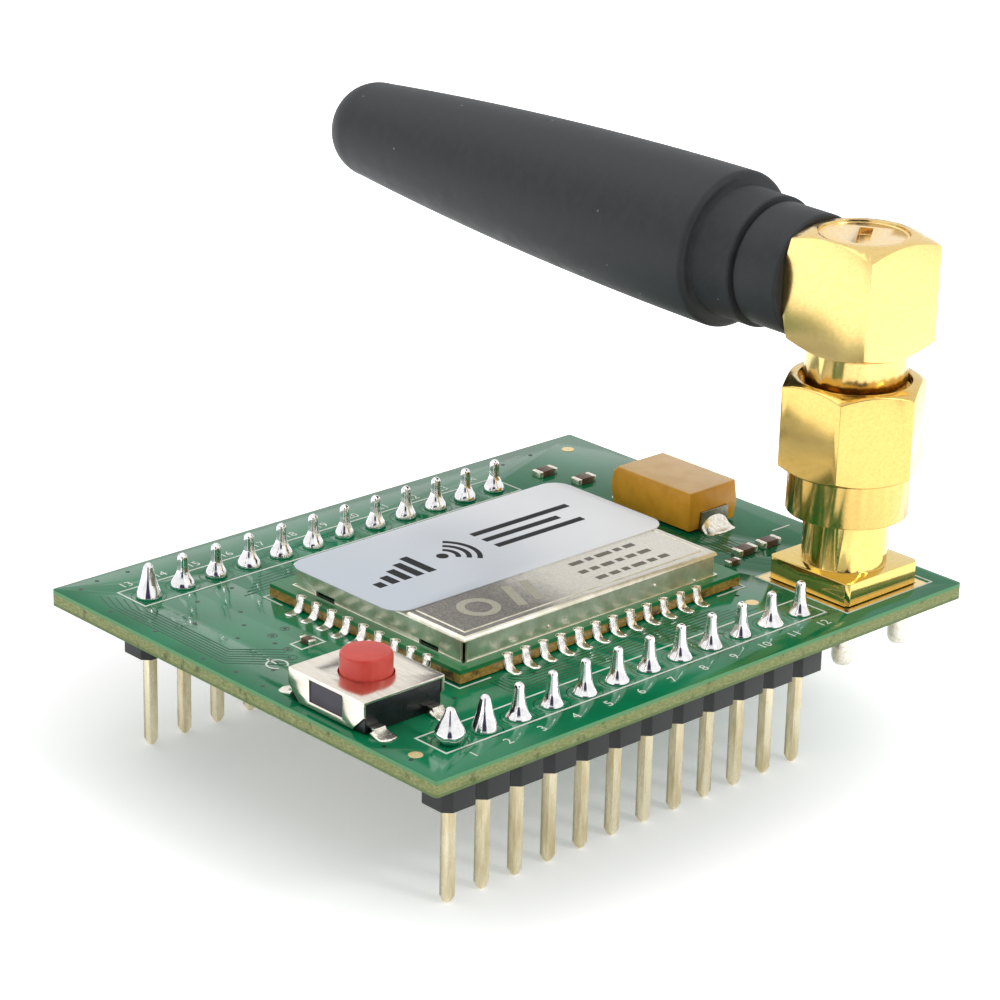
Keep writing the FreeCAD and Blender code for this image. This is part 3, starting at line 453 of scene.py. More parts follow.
# Tinned sheet: satin walls, and a top that is dark and gritty at its left end, beige at its right
def canFinish():
    look = {"wall": (246, 242, 226), "wallDark": (220, 214, 192), "dull": (122, 118, 114),
            "dullPale": (162, 158, 150), "pale": (232, 228, 216), "palest": (250, 246, 236),
            "dullEnd": -1.0, "paleStart": 4.4, "ragged": 3.0, "skin": (0.03, 0.01),
            "rough": 0.34, "topRough": 0.14, "relief": 0.015}
    finish, tree, shader, where = newFinish("tinnedCan", 0.3, 0.8)
    cloud = noise(tree, where, 0.9, 4.0, 0.65)
    wall = twoTone(tree, cloud, 0.35, 0.7, look["wall"], look["wallDark"])
    grit = noise(tree, where, 0.14, 4.0, 0.75)
    dull = twoTone(tree, grit, 0.3, 0.7, look["dull"], look["dullPale"])
    pale = twoTone(tree, grit, 0.3, 0.7, look["pale"], look["palest"])
    along = math2(tree, "ADD", axisOf(tree, where, 0),
                  times(tree, cloud, look["ragged"] * mm))
    lid = mixColour(tree, ramp(tree, along, look["dullEnd"] * mm, look["paleStart"] * mm), dull,
                    pale)
    inner = times(tree, ramp(tree, facing(tree, 2), 0.8, 0.95),
                  ramp(tree, axisOf(tree, where, 2), (place["canTop"] - look["skin"][0]) * mm,
                       (place["canTop"] - look["skin"][1]) * mm))
    tree.links.new(mixColour(tree, inner, wall, lid), shader.inputs["Base Color"])
    rough = math2(tree, "ADD", look["rough"], times(tree, inner, look["topRough"]))
    tree.links.new(rough, shader.inputs["Roughness"])
    dent = math2(tree, "ADD", times(tree, cloud, 1.2),
                 times(tree, grit, 0.3))
    addBump(tree, shader, dent, look["relief"], 0.5)
    return finish


# Blue-white film with a painted light gradient: it grows paler from its left end to its right one
def labelFinish():
    look = {"left": (214, 221, 230), "right": (252, 253, 255), "cloud": (190, 196, 206),
            "from": -6.0, "to": 13.0, "cloudShare": 0.08, "relief": 0.004}
    finish, tree, shader, where = newFinish("labelFilm", 0.25)
    # Painted light: brighter towards the right end
    colour = twoTone(tree, axisOf(tree, where, 0), look["from"] * mm, look["to"] * mm,
                     look["left"], look["right"])
    cloud = noise(tree, where, 3.0, 2.0)
    colour = mixColour(tree, times(tree, cloud, look["cloudShare"]), colour,
                       linear(*look["cloud"]))
    tree.links.new(colour, shader.inputs["Base Color"])
    addBump(tree, shader, cloud, look["relief"], 0.4)
    return finish


finishes = {
    "board": boardFinish(),
    "laminate": laminateFinish(),
    "pin": pinFinish(),
    "strip": plasticFinish("headerBlack", (20, 24, 26), (32, 36, 38), 0.42, 0.2, 0.004),
    "solder": metalFinish("solderBright", (250, 250, 250), (226, 226, 228), 0.09, 0.6, 0.006,
                          0.15, None, 0.05),
    "columnSolder": metalFinish("solderColumns", (254, 253, 248), (226, 222, 212), 0.2, 0.3, 0.01,
                                0.2),
    "padSolder": metalFinish("solderPads", (248, 244, 232), (206, 200, 182), 0.24, 0.3, 0.015,
                             0.3),
    "can": canFinish(),
    "label": labelFinish(),
    "chipResin": plasticFinish("chipResin", (34, 34, 36), (48, 48, 50), 0.5, 0.1, 0.006),
    "switchBlack": plasticFinish("switchBlack", (14, 15, 19), (28, 28, 36), 0.3, 0.15, 0.002),
    "window": plasticFinish("switchWindowBlack", (44, 40, 56), (56, 52, 68), 0.35, 0.2, 0.002),
    "rim": metalFinish("canRim", (252, 250, 240), (232, 230, 216), 0.18, 0.3, 0.003),
    "cover": metalFinish("switchCoverSteel", (238, 231, 218), (222, 213, 200), 0.2, 0.4, 0.002,
                         0.0, (1.0, 0.1, 1.0), 0.08),
    "button": plasticFinish("buttonRed", (218, 68, 54), (224, 80, 66), 0.35, 0.2, 0.003),
    "spring": metalFinish("springSteel", (188, 182, 172), (150, 144, 134), 0.3, 0.4),
    "capacitor": capacitorFinish(),
    "terminal": metalFinish("tinnedLead", (232, 228, 216), (190, 186, 172), 0.26, 0.3, 0.008, 0.2),
    # The capacitor's leads: a darker grey metal than the switch's terminals
    "darkTerminal": metalFinish("wornLead", (150, 148, 134), (112, 110, 96), 0.35, 0.3, 0.008),
    "ceramic": plasticFinish("chipCeramic", (92, 66, 52), (118, 88, 70), 0.4, 0.08, 0.006),
    "gold": metalFinish("goldPlate", (240, 209, 138), (232, 198, 121), 0.2, 0.3, 0.003, 0.06),
    # Painted shade: the nut's gold is a darker copy of the elbow's
    "nutGold": metalFinish("goldPlateNut", (226, 193, 115), (218, 183, 103), 0.17, 0.3, 0.002,
                           0.06),
    # Painted shade: the jack's gold is a darker copy of the elbow's, darkening the flange
    "jackGold": metalFinish("goldPlateJack", (232, 204, 124), (222, 192, 108), 0.11, 0.3, 0.003,
                            0.06),
    "capDisc": metalFinish("capDiscGold", (255, 228, 172), (248, 212, 148), 0.2, 0.3, 0.003, 0.06),
    "insulator": plasticFinish("whiteInsulator", (232, 230, 224), (242, 240, 236), 0.35, 0.3),
    "rubber": plasticFinish("antennaRubber", (50, 53, 56), (57, 60, 63), 0.55, 0.12, 0.012,
                            0.12, (120, 124, 126), 0.28),
    "coil": metalFinish("coilSteel", (196, 190, 178), (150, 144, 134), 0.25),
    "silk": plasticFinish("silkWhite", (226, 234, 220), (238, 242, 232), 0.5, 0.1, 0.003),
    "padGold": metalFinish("padGold", (248, 224, 168), (232, 200, 140), 0.3, 0.3, 0.004, 0.1),
    "plating": metalFinish("notchPlating", (250, 248, 240), (230, 226, 210), 0.2, 0.3, 0.004),
    "ink": plasticFinish("labelInk", (12, 12, 16), (24, 25, 30), 0.5, 0.2, 0.001, specular=0.2),
    "etchPale": metalFinish("etchPale", (206, 202, 184), (188, 184, 166), 0.42, 0.2, 0.003),
    "etchDark": plasticFinish("etchDark", (104, 98, 86), (122, 116, 102), 0.5, 0.1, 0.002),
    # Painted shade: the dark inside the via holes
    "via": plasticFinish("viaHole", (2, 30, 24), (6, 42, 32), 0.3, 0.1, 0.002),
    "trace": plasticFinish("traceLine", (0, 74, 46), (4, 84, 54), 0.14, 0.2, 0.001,
                           specular=0.36),
}
dress(finishes["board"], "main_board")
dress(finishes["laminate"], "module_board")
dress(finishes["solder"], "front_pin_solder", "back_pin_solder", "module_solder", "jack_solder")
dress(finishes["padSolder"], "surface_solder", "chip_ends")
dress(finishes["can"], "shield_can")
dress(finishes["label"], "can_label")
dress(finishes["chipResin"], "modem_chip", "power_chip")
dress(finishes["switchBlack"], "holder_base")
dress(finishes["spring"], "switch_dome", "retaining_ring")
dress(finishes["terminal"], "holder_shell")
dress(finishes["gold"], "jack_contact", "plug_pin", "holder_contacts")
dress(finishes["insulator"], "jack_insulator", "elbow_insulator")
dress(finishes["rubber"], "antenna_sheath")
dress(finishes["coil"], "antenna_coil")
print("stage: finishes made,", len(finishes))


# Solder cones: outline as (height, half-width) pairs above the board, seen across the pin's
# corners; square is how far, and up to which height, the section squares up
cone = {
    "front": [(0, 0.73), (0.06, 0.73), (0.2, 0.63), (0.45, 0.5), (0.75, 0.415), (1.1, 0.36),
              (1.5, 0.315), (1.85, 0.29), (1.98, 0.25), (2.05, 0.17), (2.07, 0.001)],
    "back": [(0, 0.7), (0.12, 0.72), (0.33, 0.66), (0.55, 0.52), (0.8, 0.4), (1.0, 0.35),
             (1.35, 0.315), (1.65, 0.31), (1.85, 0.295), (1.98, 0.24), (2.05, 0.15), (2.08, 0.001)],
    "drop": [(0, 0.5), (0.12, 0.6), (0.35, 0.8), (0.6, 0.86), (0.9, 0.76), (1.2, 0.6),
             (1.5, 0.44), (1.8, 0.31), (2.0, 0.24), (2.07, 0.15), (2.1, 0.001)],
    "hat": [(0, 0.74), (0.1, 0.76), (0.4, 0.68), (0.8, 0.55), (1.2, 0.45), (1.6, 0.36),
            (1.9, 0.28), (2.03, 0.2), (2.1, 0.12), (2.12, 0.001)],
    "rings": 44,
    "columns": 40,
    "gather": 1.6,
    "square": (1.6, 1.4),
    "footHeight": 1.2,
    "wide": 0.05,
    "tall": 0.008,
    "lean": 0.03,
}


# The middles of one row of pins
def pinPlaces(y):
    x = evenRow(place["pinCount"], place["pinPitch"])
    return np.stack([x, np.full(len(x), y)], 1)


# The half-width is read off the outline at each height and smoothed along it; the section turns
# from a circle at the foot to a rounded square higher up, as the sum of two powers of the sides
def coneGrid(x, y, outline, wide, tall, lean):
    outline = np.array(outline)
    t = np.linspace(0, 1, cone["rings"])
    height = outline[-1, 0] * (1 - (1 - t) ** cone["gather"])
    radius = np.interp(height, outline[:, 0], outline[:, 1])
    padded = np.concatenate([[radius[0]] * 2, radius, [radius[-1]] * 2])
    smooth = np.convolve(padded, np.array([1, 4, 6, 4, 1]) / 16, "valid")
    radius = np.where((t > 0.03) & (t < 0.93), smooth, radius)
    extra, full = cone["square"]
    power = (2 + extra * np.clip(height / full, 0, 1))[:, None]
    angle = np.linspace(0, 2 * np.pi, cone["columns"], endpoint=False)
    c, s = np.abs(np.cos(angle))[None, :], np.abs(np.sin(angle))[None, :]
    corner = 2 ** (-1 / power) / np.sqrt(0.5)
    ring = radius[:, None] * (c ** power + s ** power) ** (-1 / power) / corner
    foot = np.clip(1 - height / cone["footHeight"], 0, 1)[:, None]
    ring = ring * (1 + (wide - 1) * foot + lean * foot * np.cos(2 * angle - x))
    z = top + np.repeat((height * tall)[:, None], len(angle), 1)
    points = np.stack([x + ring * np.cos(angle), y + ring * np.sin(angle), z], -1)
    return points.reshape(-1, 3)


# One cone at each pin: its width, height and oval each change by a small random share
def makeCones(name, y, node, kinds):
    faces = gridFaces(cone["rings"], cone["columns"])
    parts = []
    for (x, rowY), kind in zip(pinPlaces(y), kinds):
        wobble = rng.normal(0, 1, 3)
        parts.append((coneGrid(x, rowY, cone[kind], 1 + cone["wide"] * wobble[0],
                               1 + cone["tall"] * abs(wobble[1]), cone["lean"] * wobble[2]), faces))
    addJoined(name, parts, "solder", True, node)


makeCones("frontSolderCones", -place["rowY"], "front_pin_solder", ["drop", "hat"] + ["front"] * 10)
makeCones("backSolderCones", place["rowY"], "back_pin_solder", ["hat"] + ["back"] * 11)
print("stage: solder cones")


# Module notches and the solder in them: height at the board, how far it reaches out, its
# half-width, its fall, and in wobble how much these three sizes vary
notch = {"pitch": 1.4, "longCount": 12, "shortCount": 9, "radius": 0.35, "height": 0.90,
         "reach": 1.08, "halfWidth": 0.35, "fall": 0.125, "start": -0.22, "thick": 0.15,
         "wobble": (0.01, 0.03, 0.04), "skin": 0.012, "collar": 0.02, "collarSteps": 15}
# What all fillets share: points of the grid, the thin skirt at the end, how much narrower the
# start is, how blunt the end is, and how much thinner the end is
fillet = {"rings": 20, "columns": 16, "gather": 1.6, "skirt": 0.07, "narrow": 0.12,
          "bluntness": 14, "thinner": 0.6, "least": 0.02}


# x, y and outward direction of every notch of the module board
def notchPlaces():
    cx, cy = place["moduleCentre"]
    halfX, halfY = np.array(place["moduleSize"]) / 2
    many, few = notch["longCount"], notch["shortCount"]
    alongX, alongY = evenRow(many, notch["pitch"]), evenRow(few, notch["pitch"])
    rows = [np.stack([cx + alongX, np.full(many, cy + side * halfY),
                      np.full(many, side * np.pi / 2)], 1) for side in (-1, 1)]
    rows += [np.stack([np.full(few, cx + side * halfX), cy + alongY, np.full(few, turn)], 1)
             for side, turn in ((-1, np.pi), (1, 0.0))]
    return np.concatenate(rows)


# Solder fillet in its own frame, u outward, v sideways, w up: its middle line falls as
# height * exp(-u / fall) to the pad, and across it the section is a low dome closed underneath
def filletGrid(height, reach, half, fall, start, thick):
    s = fillet
    t = np.linspace(0, 1, s["rings"])
    u = start + (reach - start) * t ** s["gather"]
    w = s["skirt"] + (height - s["skirt"]) * np.exp(-np.maximum(u, 0) / fall)
    width = half * (1 - s["narrow"] + s["narrow"] * t)
    width = width * np.sqrt(np.clip(1 - t ** s["bluntness"], s["least"], 1))
    angle = np.linspace(0, np.pi, s["columns"] - 2)
    v = width[:, None] * np.cos(angle)
    deep = thick * (1 - s["thinner"] * t)
    slopeU, slopeW = np.gradient(u), np.gradient(w)
    length = np.hypot(slopeU, slopeW)
    lift = (np.sin(angle) - 1.0) * deep[:, None]
    uu = u[:, None] - (slopeW / length)[:, None] * lift
    ww = np.maximum(w[:, None] + (slopeU / length)[:, None] * lift, s["least"])
    upper = np.stack([uu, v, ww], -1)
    feet = upper[:, (-1, 0)].copy()
    feet[..., 2] = 0.0
    return np.concatenate([upper, feet], 1)


# Points (u, v, w) turned so that u looks along angle, then moved to x, y, z
def turnTo(points, x, y, angle, z):
    c, s = np.cos(angle), np.sin(angle)
    return np.stack([x + points[..., 0] * c - points[..., 1] * s,
                     y + points[..., 0] * s + points[..., 1] * c, z + points[..., 2]], -1)


# A fillet turned to its place on the board, with its faces
def filletAt(x, y, angle, *shape):
    points = turnTo(filletGrid(*shape), x, y, angle, top)
    return points.reshape(-1, 3), gridFaces(fillet["rings"], fillet["columns"])


# A fillet in each notch: height, reach and width change by random shares of wobble
def makeModuleSolder():
    n = notch
    parts = []
    for x, y, angle in notchPlaces():
        high, far, wide = n["wobble"] * rng.normal(0, 1, 3)
        parts.append(filletAt(x, y, angle, n["height"] + high, n["reach"] * (1 + far),
                              n["halfWidth"] * (1 + wide), n["fall"], n["start"], n["thick"]))
    addJoined("moduleSolderFillets", parts, "columnSolder", True, "module_solder")


# A thin collar carried half round each notch: down its wall and out over the board's top
def makeNotchPlating():
    inner, outer = notch["radius"] - notch["collar"], notch["radius"] + notch["collar"]
    skin, low, high = notch["skin"], place["moduleBottom"], place["moduleTop"]
    profile = np.array([(inner, low), (inner, high + skin), (outer, high + skin), (outer, high),
                        (inner + skin, high), (inner + skin, low)])
    turn = np.linspace(np.pi / 2, 3 * np.pi / 2, notch["collarSteps"])
    grid = np.stack([profile[None, :, 0] * np.cos(turn)[:, None],
                     profile[None, :, 0] * np.sin(turn)[:, None],
                     np.repeat(profile[None, :, 1], len(turn), 0)], -1)
    faces = gridFaces(len(turn), len(profile))
    addJoined("notchPlating", [(turnTo(grid, x, y, angle, 0).reshape(-1, 3), faces)
                               for x, y, angle in notchPlaces()], "plating")


# Solder blobs, for the capacitor and the switch: x of their feet, y of the part's middle, how
# far from it the blobs start, then height, reach, half-width and fall
blobs = [{"x": (20.07,), "middle": 3.115, "out": 3.66, "shape": (0.95, 1.0, 1.25, 0.32)},
         {"x": (-16.22, -12.02), "middle": -6.585, "out": 3.515, "shape": (0.36, 1.1, 0.62, 0.45)}]
blobStart, blobThickness = -0.12, 0.5


# A fillet before and behind each foot, half as thick as it is high
def makeSurfaceSolder():
    parts = [filletAt(x, blob["middle"] + side * blob["out"], side * np.pi / 2, *blob["shape"],
                      blobStart, blob["shape"][0] * blobThickness)
             for blob in blobs for x in blob["x"] for side in (-1, 1)]
    addJoined("terminalSolder", parts, "padSolder", True, "surface_solder")


# Solder on the jack's legs as (radius, height) pairs from the leg's end up to the board
leg = {"spacing": 2.54, "columns": 32, "padRadius": 1.05, "padEdge": 0.03,
       "outline": [(0.001, 5.72), (0.35, 5.74), (0.52, 5.82), (0.62, 6.0), (0.69, 6.3),
                   (0.695, 7.4), (0.72, 7.8), (0.84, 8.3)]}


# Solder under the board: a cone at the hole that runs on as a coat down each leg of the jack
def makeJackSolder():
    outline = leg["outline"] + [(leg["padRadius"], under - leg["padEdge"]),
                                (leg["padRadius"], under), (leg["outline"][0][0], under)]
    jx, jy = place["jack"]
    sides = (-leg["spacing"], leg["spacing"])
    centres = [(jx + dx, jy + dy, 0) for dx in sides for dy in sides] + [(jx, jy, 0)]
    addJoined("jackLegSolder", [discs(centres, outline, leg["columns"])], "padSolder",
              True, "jack_solder")


foot = {"width": 0.1, "height": 0.09}
opening = {"middle": -6.585, "half": 1.39, "bulge": 0.03, "x": (-16.95, -16.8),
           "z": (10.13, 11.41), "steps": 15}


# A narrow bright foot that the can's walls stand on
def makeCanFoot():
    low = place["moduleTop"] - sink
    addJoined("canFootRim", [ribbon(rectangle(*place["canBox"]), foot["width"], low,
                                    low + foot["height"], True)], "rim")


# The black base as it shows in the opening of the switch's cover: a slab whose outer face
# stands out by bulge * (1 - t * t)
def makeSwitchWindow():
    t = np.linspace(-1, 1, opening["steps"])
    grid = np.zeros((len(t), 4, 3))
    grid[:, :, 1] = (opening["middle"] + opening["half"] * t)[:, None]
    grid[:, (0, 1), 0] = (opening["x"][0] - opening["bulge"] * (1 - t ** 2))[:, None]
    grid[:, (2, 3), 0] = opening["x"][1]
    grid[:, (0, 3), 2], grid[:, (1, 2), 2] = opening["z"]
    addJoined("switchWindow", [(grid.reshape(-1, 3), gridFaces(len(t), 4))], "window")


makeModuleSolder()
makeCanFoot()
makeSwitchWindow()
makeNotchPlating()
makeSurfaceSolder()
makeJackSolder()
print("stage: module and leg solder")


sheath = {"start": 3.37, "collar": 3.85, "collarEnd": 6.75, "groove": 0.25, "grooveDepth": 0.3,
          "step": 4.1, "stepEnd": 10.0, "root": 4.93, "tip": 3.25, "swell": 0.375, "length": 46.3,
          "tipRounding": 3.0, "edge": 0.4, "lean": 1.05, "bore": 2.22, "boreEnd": 40.55,
          "columns": 128, "bodyRings": 60, "soft": 0.14, "footRounding": 0.3, "cut": 0.03,
          "boreCut": 0.02, "stepCut": 0.05, "axis": 0.0001}


# Outline of the rubber turned about the rod's axis: rounded collar, groove, step with a soft
# edge, a straight taper plus a low hump 4 t (1 - t), and a round tip. Everything outside the bore
# then turns up by the lean about the middle of the foot
def makeSheath():
    s = sheath
    soft, cut, rounding = s["soft"], s["cut"], s["footRounding"]
    grooveFloor = s["collar"] - s["grooveDepth"]
    grooveEnd = s["collarEnd"] + s["groove"]
    t = np.linspace(0, 1, s["bodyRings"])[1:-1]
    shoulder = s["length"] - s["tipRounding"]
    rootEnd = s["stepEnd"] + s["edge"]
    body = np.stack([s["root"] + (s["tip"] - s["root"]) * t + 4 * s["swell"] * t * (1 - t),
                     rootEnd + (shoulder - rootEnd) * t], 1)
    bore = [(s["axis"], s["boreEnd"]), (s["bore"], s["boreEnd"]),
            (s["bore"], s["start"] + s["boreCut"]), (s["bore"] + s["boreCut"], s["start"])]
    profile = np.concatenate([
        bore,
        arcPoints((s["collar"] - rounding, s["start"] + rounding), rounding, -90, 0, 8),
        arcPoints((s["collar"] - soft, s["collarEnd"] - soft), soft, 0, 90, 6),
        [(grooveFloor + cut, s["collarEnd"]), (grooveFloor, s["collarEnd"] + cut)],
        [(grooveFloor, grooveEnd - cut), (grooveFloor + cut, grooveEnd)],
        arcPoints((s["step"] - soft, grooveEnd + soft), soft, -90, 0, 6),
        [(s["step"], s["stepEnd"] - s["stepCut"]), (s["step"] + s["stepCut"], s["stepEnd"])],
        arcPoints((s["root"] - s["edge"], rootEnd), s["edge"], -90, 0, 12),
        body,
        arcPoints((s["tip"] - s["tipRounding"], shoulder), s["tipRounding"], 0, 90, 22),
        [(s["axis"], s["length"])]])
    points = turnedGrid(profile, s["columns"], (0, 0, 0), "y").reshape(len(profile), -1, 3)
    outside = points[len(bore):]
    angle = math.radians(s["lean"])
    along, up = outside[:, :, 1] - s["start"], outside[:, :, 2].copy()
    outside[:, :, 1] = np.maximum(along * math.cos(angle) - up * math.sin(angle), 0) + s["start"]
    outside[:, :, 2] = along * math.sin(angle) + up * math.cos(angle)
    points += np.array([*place["jack"], place["antennaZ"]])
    piece = addPiece("antennaRubber", points.reshape(-1, 3),
                     gridFaces(len(profile), s["columns"]), finishes["rubber"], "antenna")
    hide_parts("antenna_sheath")


makeSheath()
print("stage: antenna")


# Pieces whose CAD shape is right and only needs softer edges: finish, body and edge width
softened = {
    "elbow_body": ("gold", "antenna", 0.17),
    "elbow_cap": ("capDisc", "antenna", 0.03),
    "coupling_nut": ("nutGold", "nut", 0.14),
    "jack_body": ("jackGold", "board", 0.08),
    "shield_can": ("can", "board", 0.03),
    "can_label": ("label", "board", 0.02),
    "switch_cover": ("cover", "board", 0.05),
    "switch_base": ("switchBlack", "board", 0.05),
    "switch_button": ("button", "button", 0.12),
    "switch_terminals": ("terminal", "board", 0.03),
    "capacitor_body": ("capacitor", "board", 0.06),
    "capacitor_terminals": ("darkTerminal", "board", 0.03),
    "chip_bodies": ("ceramic", "board", 0.04),
    "chip_ends": ("padSolder", "board", 0.06),
    "front_header_strip": ("strip", "board", 0.06),
    "back_header_strip": ("strip", "board", 0.06),
    "main_board": ("board", "board", 0.05),
}
for source in nodes:
    if source.startswith(("front_pin_", "back_pin_")) and not source.endswith("solder"):
        softened[source] = ("pin", "board", 0.05)
for source, (finishName, body, width) in softened.items():
    words = source.split("_")
    name = words[0] + "".join(word.capitalize() for word in words[1:]) + "Soft"
    nodeCopy(source, name, finishes[finishName], body, width)
print("stage: softened copies,", len(softened))


# White lines: frames round the pins, the jack and a chip, corners round the module, two dashes,
# and a broken ring with a bar. Boxes are x0, x1, y0, y1
silk = {"height": 0.018, "width": 0.12,
        "frames": [(-15.05, 15.3, -14.25, -11.75), (-15.1, 15.3, 12.2, 14.9),
                   (16.15, 23.85, -15.2, -7.8), (-12.1, -10.36, 1.42, 2.42)],
        "underFrame": (-15.3, 0.4, -7.8, 7.8), "cornerGap": 0.25, "cornerArms": (2.4, 1.7),
        "dashes": [[(22.6, -3.2), (24.2, -3.2)], [(22.6, 8.2), (24.2, 8.2)]],
        "ring": ((-14.5, 0.7), 0.62, -60, 240, 22), "bar": [(-14.5, 0.75), (-14.5, 1.6)]}


# Each line is a thin ribbon on the board; a corner has one arm along x and one along y
def makeSilk():
    low, high, width = top - sink, top + silk["height"], silk["width"]
    armX, armY = silk["cornerArms"]
    lines = []
    cx, cy = place["moduleCentre"]
    hx, hy = np.array(place["moduleSize"]) / 2 + silk["cornerGap"]
    for sx in (-1, 1):
        for sy in (-1, 1):
            x, y = cx + sx * hx, cy + sy * hy
            lines.append([(x - sx * armX, y), (x, y), (x, y - sy * armY)])
    lines += silk["dashes"] + [arcPoints(*silk["ring"]), silk["bar"]]
    parts = [ribbon(rectangle(*box), width, low, high, True) for box in silk["frames"]]
    parts += [ribbon(p, width, low, high) for p in lines]
    parts.append(ribbon(rectangle(*silk["underFrame"]), width, under - silk["height"],
                        under + sink, True))
    addJoined("silkLines", parts, "silk")


# Tracks: each family has its count, its first track and its last one. Those below the board are
# count tracks with one pitch, staggered in threes, that close up by squeeze at their far end
tracks = {
    "height": 0.008, "width": 0.075, "ringRadii": (1.06, 1.01), "ringColumns": 40,
    "families": [
        (7, [(-16.2, 15.2), (-16.72, 13.5), (-16.68, 2.76), (-15.04, 1.23), (-13.6, -0.2)],
         [(-14.6, 12.6), (-15.18, 11.3), (-15.24, 4.1), (-13.81, 2.9), (-12.9, 2.1)]),
        (6, [(-9.6, 9.75), (-3.2, 9.75)], [(-7.1, 11.55), (0.3, 11.55)]),
        (8, [(-6.9, -8.9), (-6.9, -10.6), (-6.3, -11.2), (12.6, -11.2)],
         [(-4.8, -8.9), (-4.8, -8.5), (-4.2, -9.1), (9.1, -9.1)]),
        (6, [(16.0, 11.0), (16.0, 3.0), (17.6, 1.4), (17.6, -5.5)],
         [(17.7, 11.0), (17.7, 4.7), (19.3, 3.1), (19.3, -5.5)]),
    ],
    "below": {"count": 12, "y": -6.6, "pitch": 1.2, "x": 2.4, "stagger": 0.5, "straight": 8,
              "bend": 10, "bendStep": 0.3, "squeeze": 0.6, "end": 15.4, "width": 0.14,
              "height": 0.006},
}


# Families of parallel tracks: each one is first + (last - first) * share, the share going evenly
# from 0 to 1. A thin ring goes round each pin
def makeTraces():
    low, high = top - sink, top + tracks["height"]
    parts = []
    for count, first, last in tracks["families"]:
        first, last = np.array(first), np.array(last)
        parts += [ribbon(first + (last - first) * share, tracks["width"], low, high)
                  for share in np.linspace(0, 1, count)]
    b = tracks["below"]
    for index in range(b["count"]):
        y = b["y"] + b["pitch"] * index
        x = b["x"] + b["stagger"] * (index % 3)
        far = y * b["squeeze"]
        parts.append(ribbon([(x, y), (x + b["straight"], y),
                             (x + b["bend"] - b["bendStep"] * index, far), (b["end"], far)],
                            b["width"], under - b["height"], under + sink))
    outer, inner = tracks["ringRadii"]
    ring = [(outer, -sink), (outer, tracks["height"]), (inner, tracks["height"]), (inner, -sink)]
    pins = np.concatenate([pinPlaces(-place["rowY"]), pinPlaces(place["rowY"])])
    parts.append(discs([(x, y, top) for x, y in pins], ring, tracks["ringColumns"], True))
    addJoined("boardTracks", parts, "trace")


vias = {
    "holes": [(-16.45, 16.74), (-14.93, 17.2), (-12.64, 17.2), (-17.1, 12.9), (-16.89, 8.89),
              (-12.29, 10.82), (-14.43, 8.32), (-11.3, 7.99), (-12.4, 6.3), (-13.87, 5.06),
              (-17.2, 4.03), (-16.91, 1.38), (-17.0, -1.1), (-12.69, 3.1), (-12.1, 4.06),
              (-10.9, 4.4), (-12.67, 1.95), (-15.16, 0.23), (-9.9, -9.2), (-4.1, -9.6),
              (1.2, -10.2), (5.6, -9.7), (9.4, -10.9), (13.1, -9.1), (15.6, -6.4), (16.6, -1.8),
              (23.6, -3.0), (24.1, 5.2), (17.0, 9.2), (23.9, 10.6), (12.4, 10.9), (6.1, 11.0),
              (0.4, 10.8), (-5.2, 10.6), (-9.4, 11.2), (-17.0, -13.6), (-17.0, -11.4),
              (17.6, 16.4), (20.3, 16.6)],
    "ringed": [(-10.9, 4.4), (-12.67, 1.95), (-12.1, 4.06), (-13.2, 0.9)],
    "upper": [(0.14, -0.002), (0.14, 0.004), (0.11, 0.006), (0.01, 0.006)],
    "lower": [(0.01, -0.006), (0.14, -0.006), (0.14, 0.002), (0.01, 0.002)],
    "ring": [(0.3, -0.002), (0.3, 0.007), (0.24, 0.007), (0.24, -0.002)],
}
# Bare gilt copper: round marks as (radius, height) pairs, and the square under the jack's flange
pads = {"spots": [(-16.4, -13.3), (13.0, -10.4), (23.0, 15.8)],
        "outline": [(0.42, -0.002), (0.42, 0.008), (0.38, 0.014), (0.01, 0.014)],
        "flangeHalf": 3.42, "flangeWidth": 0.5, "flangeHeight": 0.012}


# The same turned outline on each listed place of a board's face
def onFace(places, height, outline, columns, loop=False):
    return discs([(x, y, height) for x, y in places], outline, columns, loop)


# A dark dot above and below the board at each hole, painted shade standing in for the open hole,
# and a ring round some
def makeVias():
    addJoined("viaHoles", [onFace(vias["holes"], top, vias["upper"], 16),
                           onFace(vias["holes"], under, vias["lower"], 16)], "via")
    addJoined("viaRings", [onFace(vias["ringed"], top, vias["ring"], 24, True)], "trace")


# Round gilt marks, and a square frame whose middle line is flangeHalf from the jack's axis
def makePads():
    jx, jy = place["jack"]
    half = pads["flangeHalf"]
    square = ribbon(rectangle(jx - half, jx + half, jy - half, jy + half), pads["flangeWidth"],
                    top - sink, top + pads["flangeHeight"], True)
    addJoined("giltPads", [onFace(pads["spots"], top, pads["outline"], 32), square], "padGold")


# Pin numbers: y of each row and its first number
numbers = {"rows": ((-15.55, 1), (15.3, 13)), "size": 0.92, "halfHeight": 0.008}


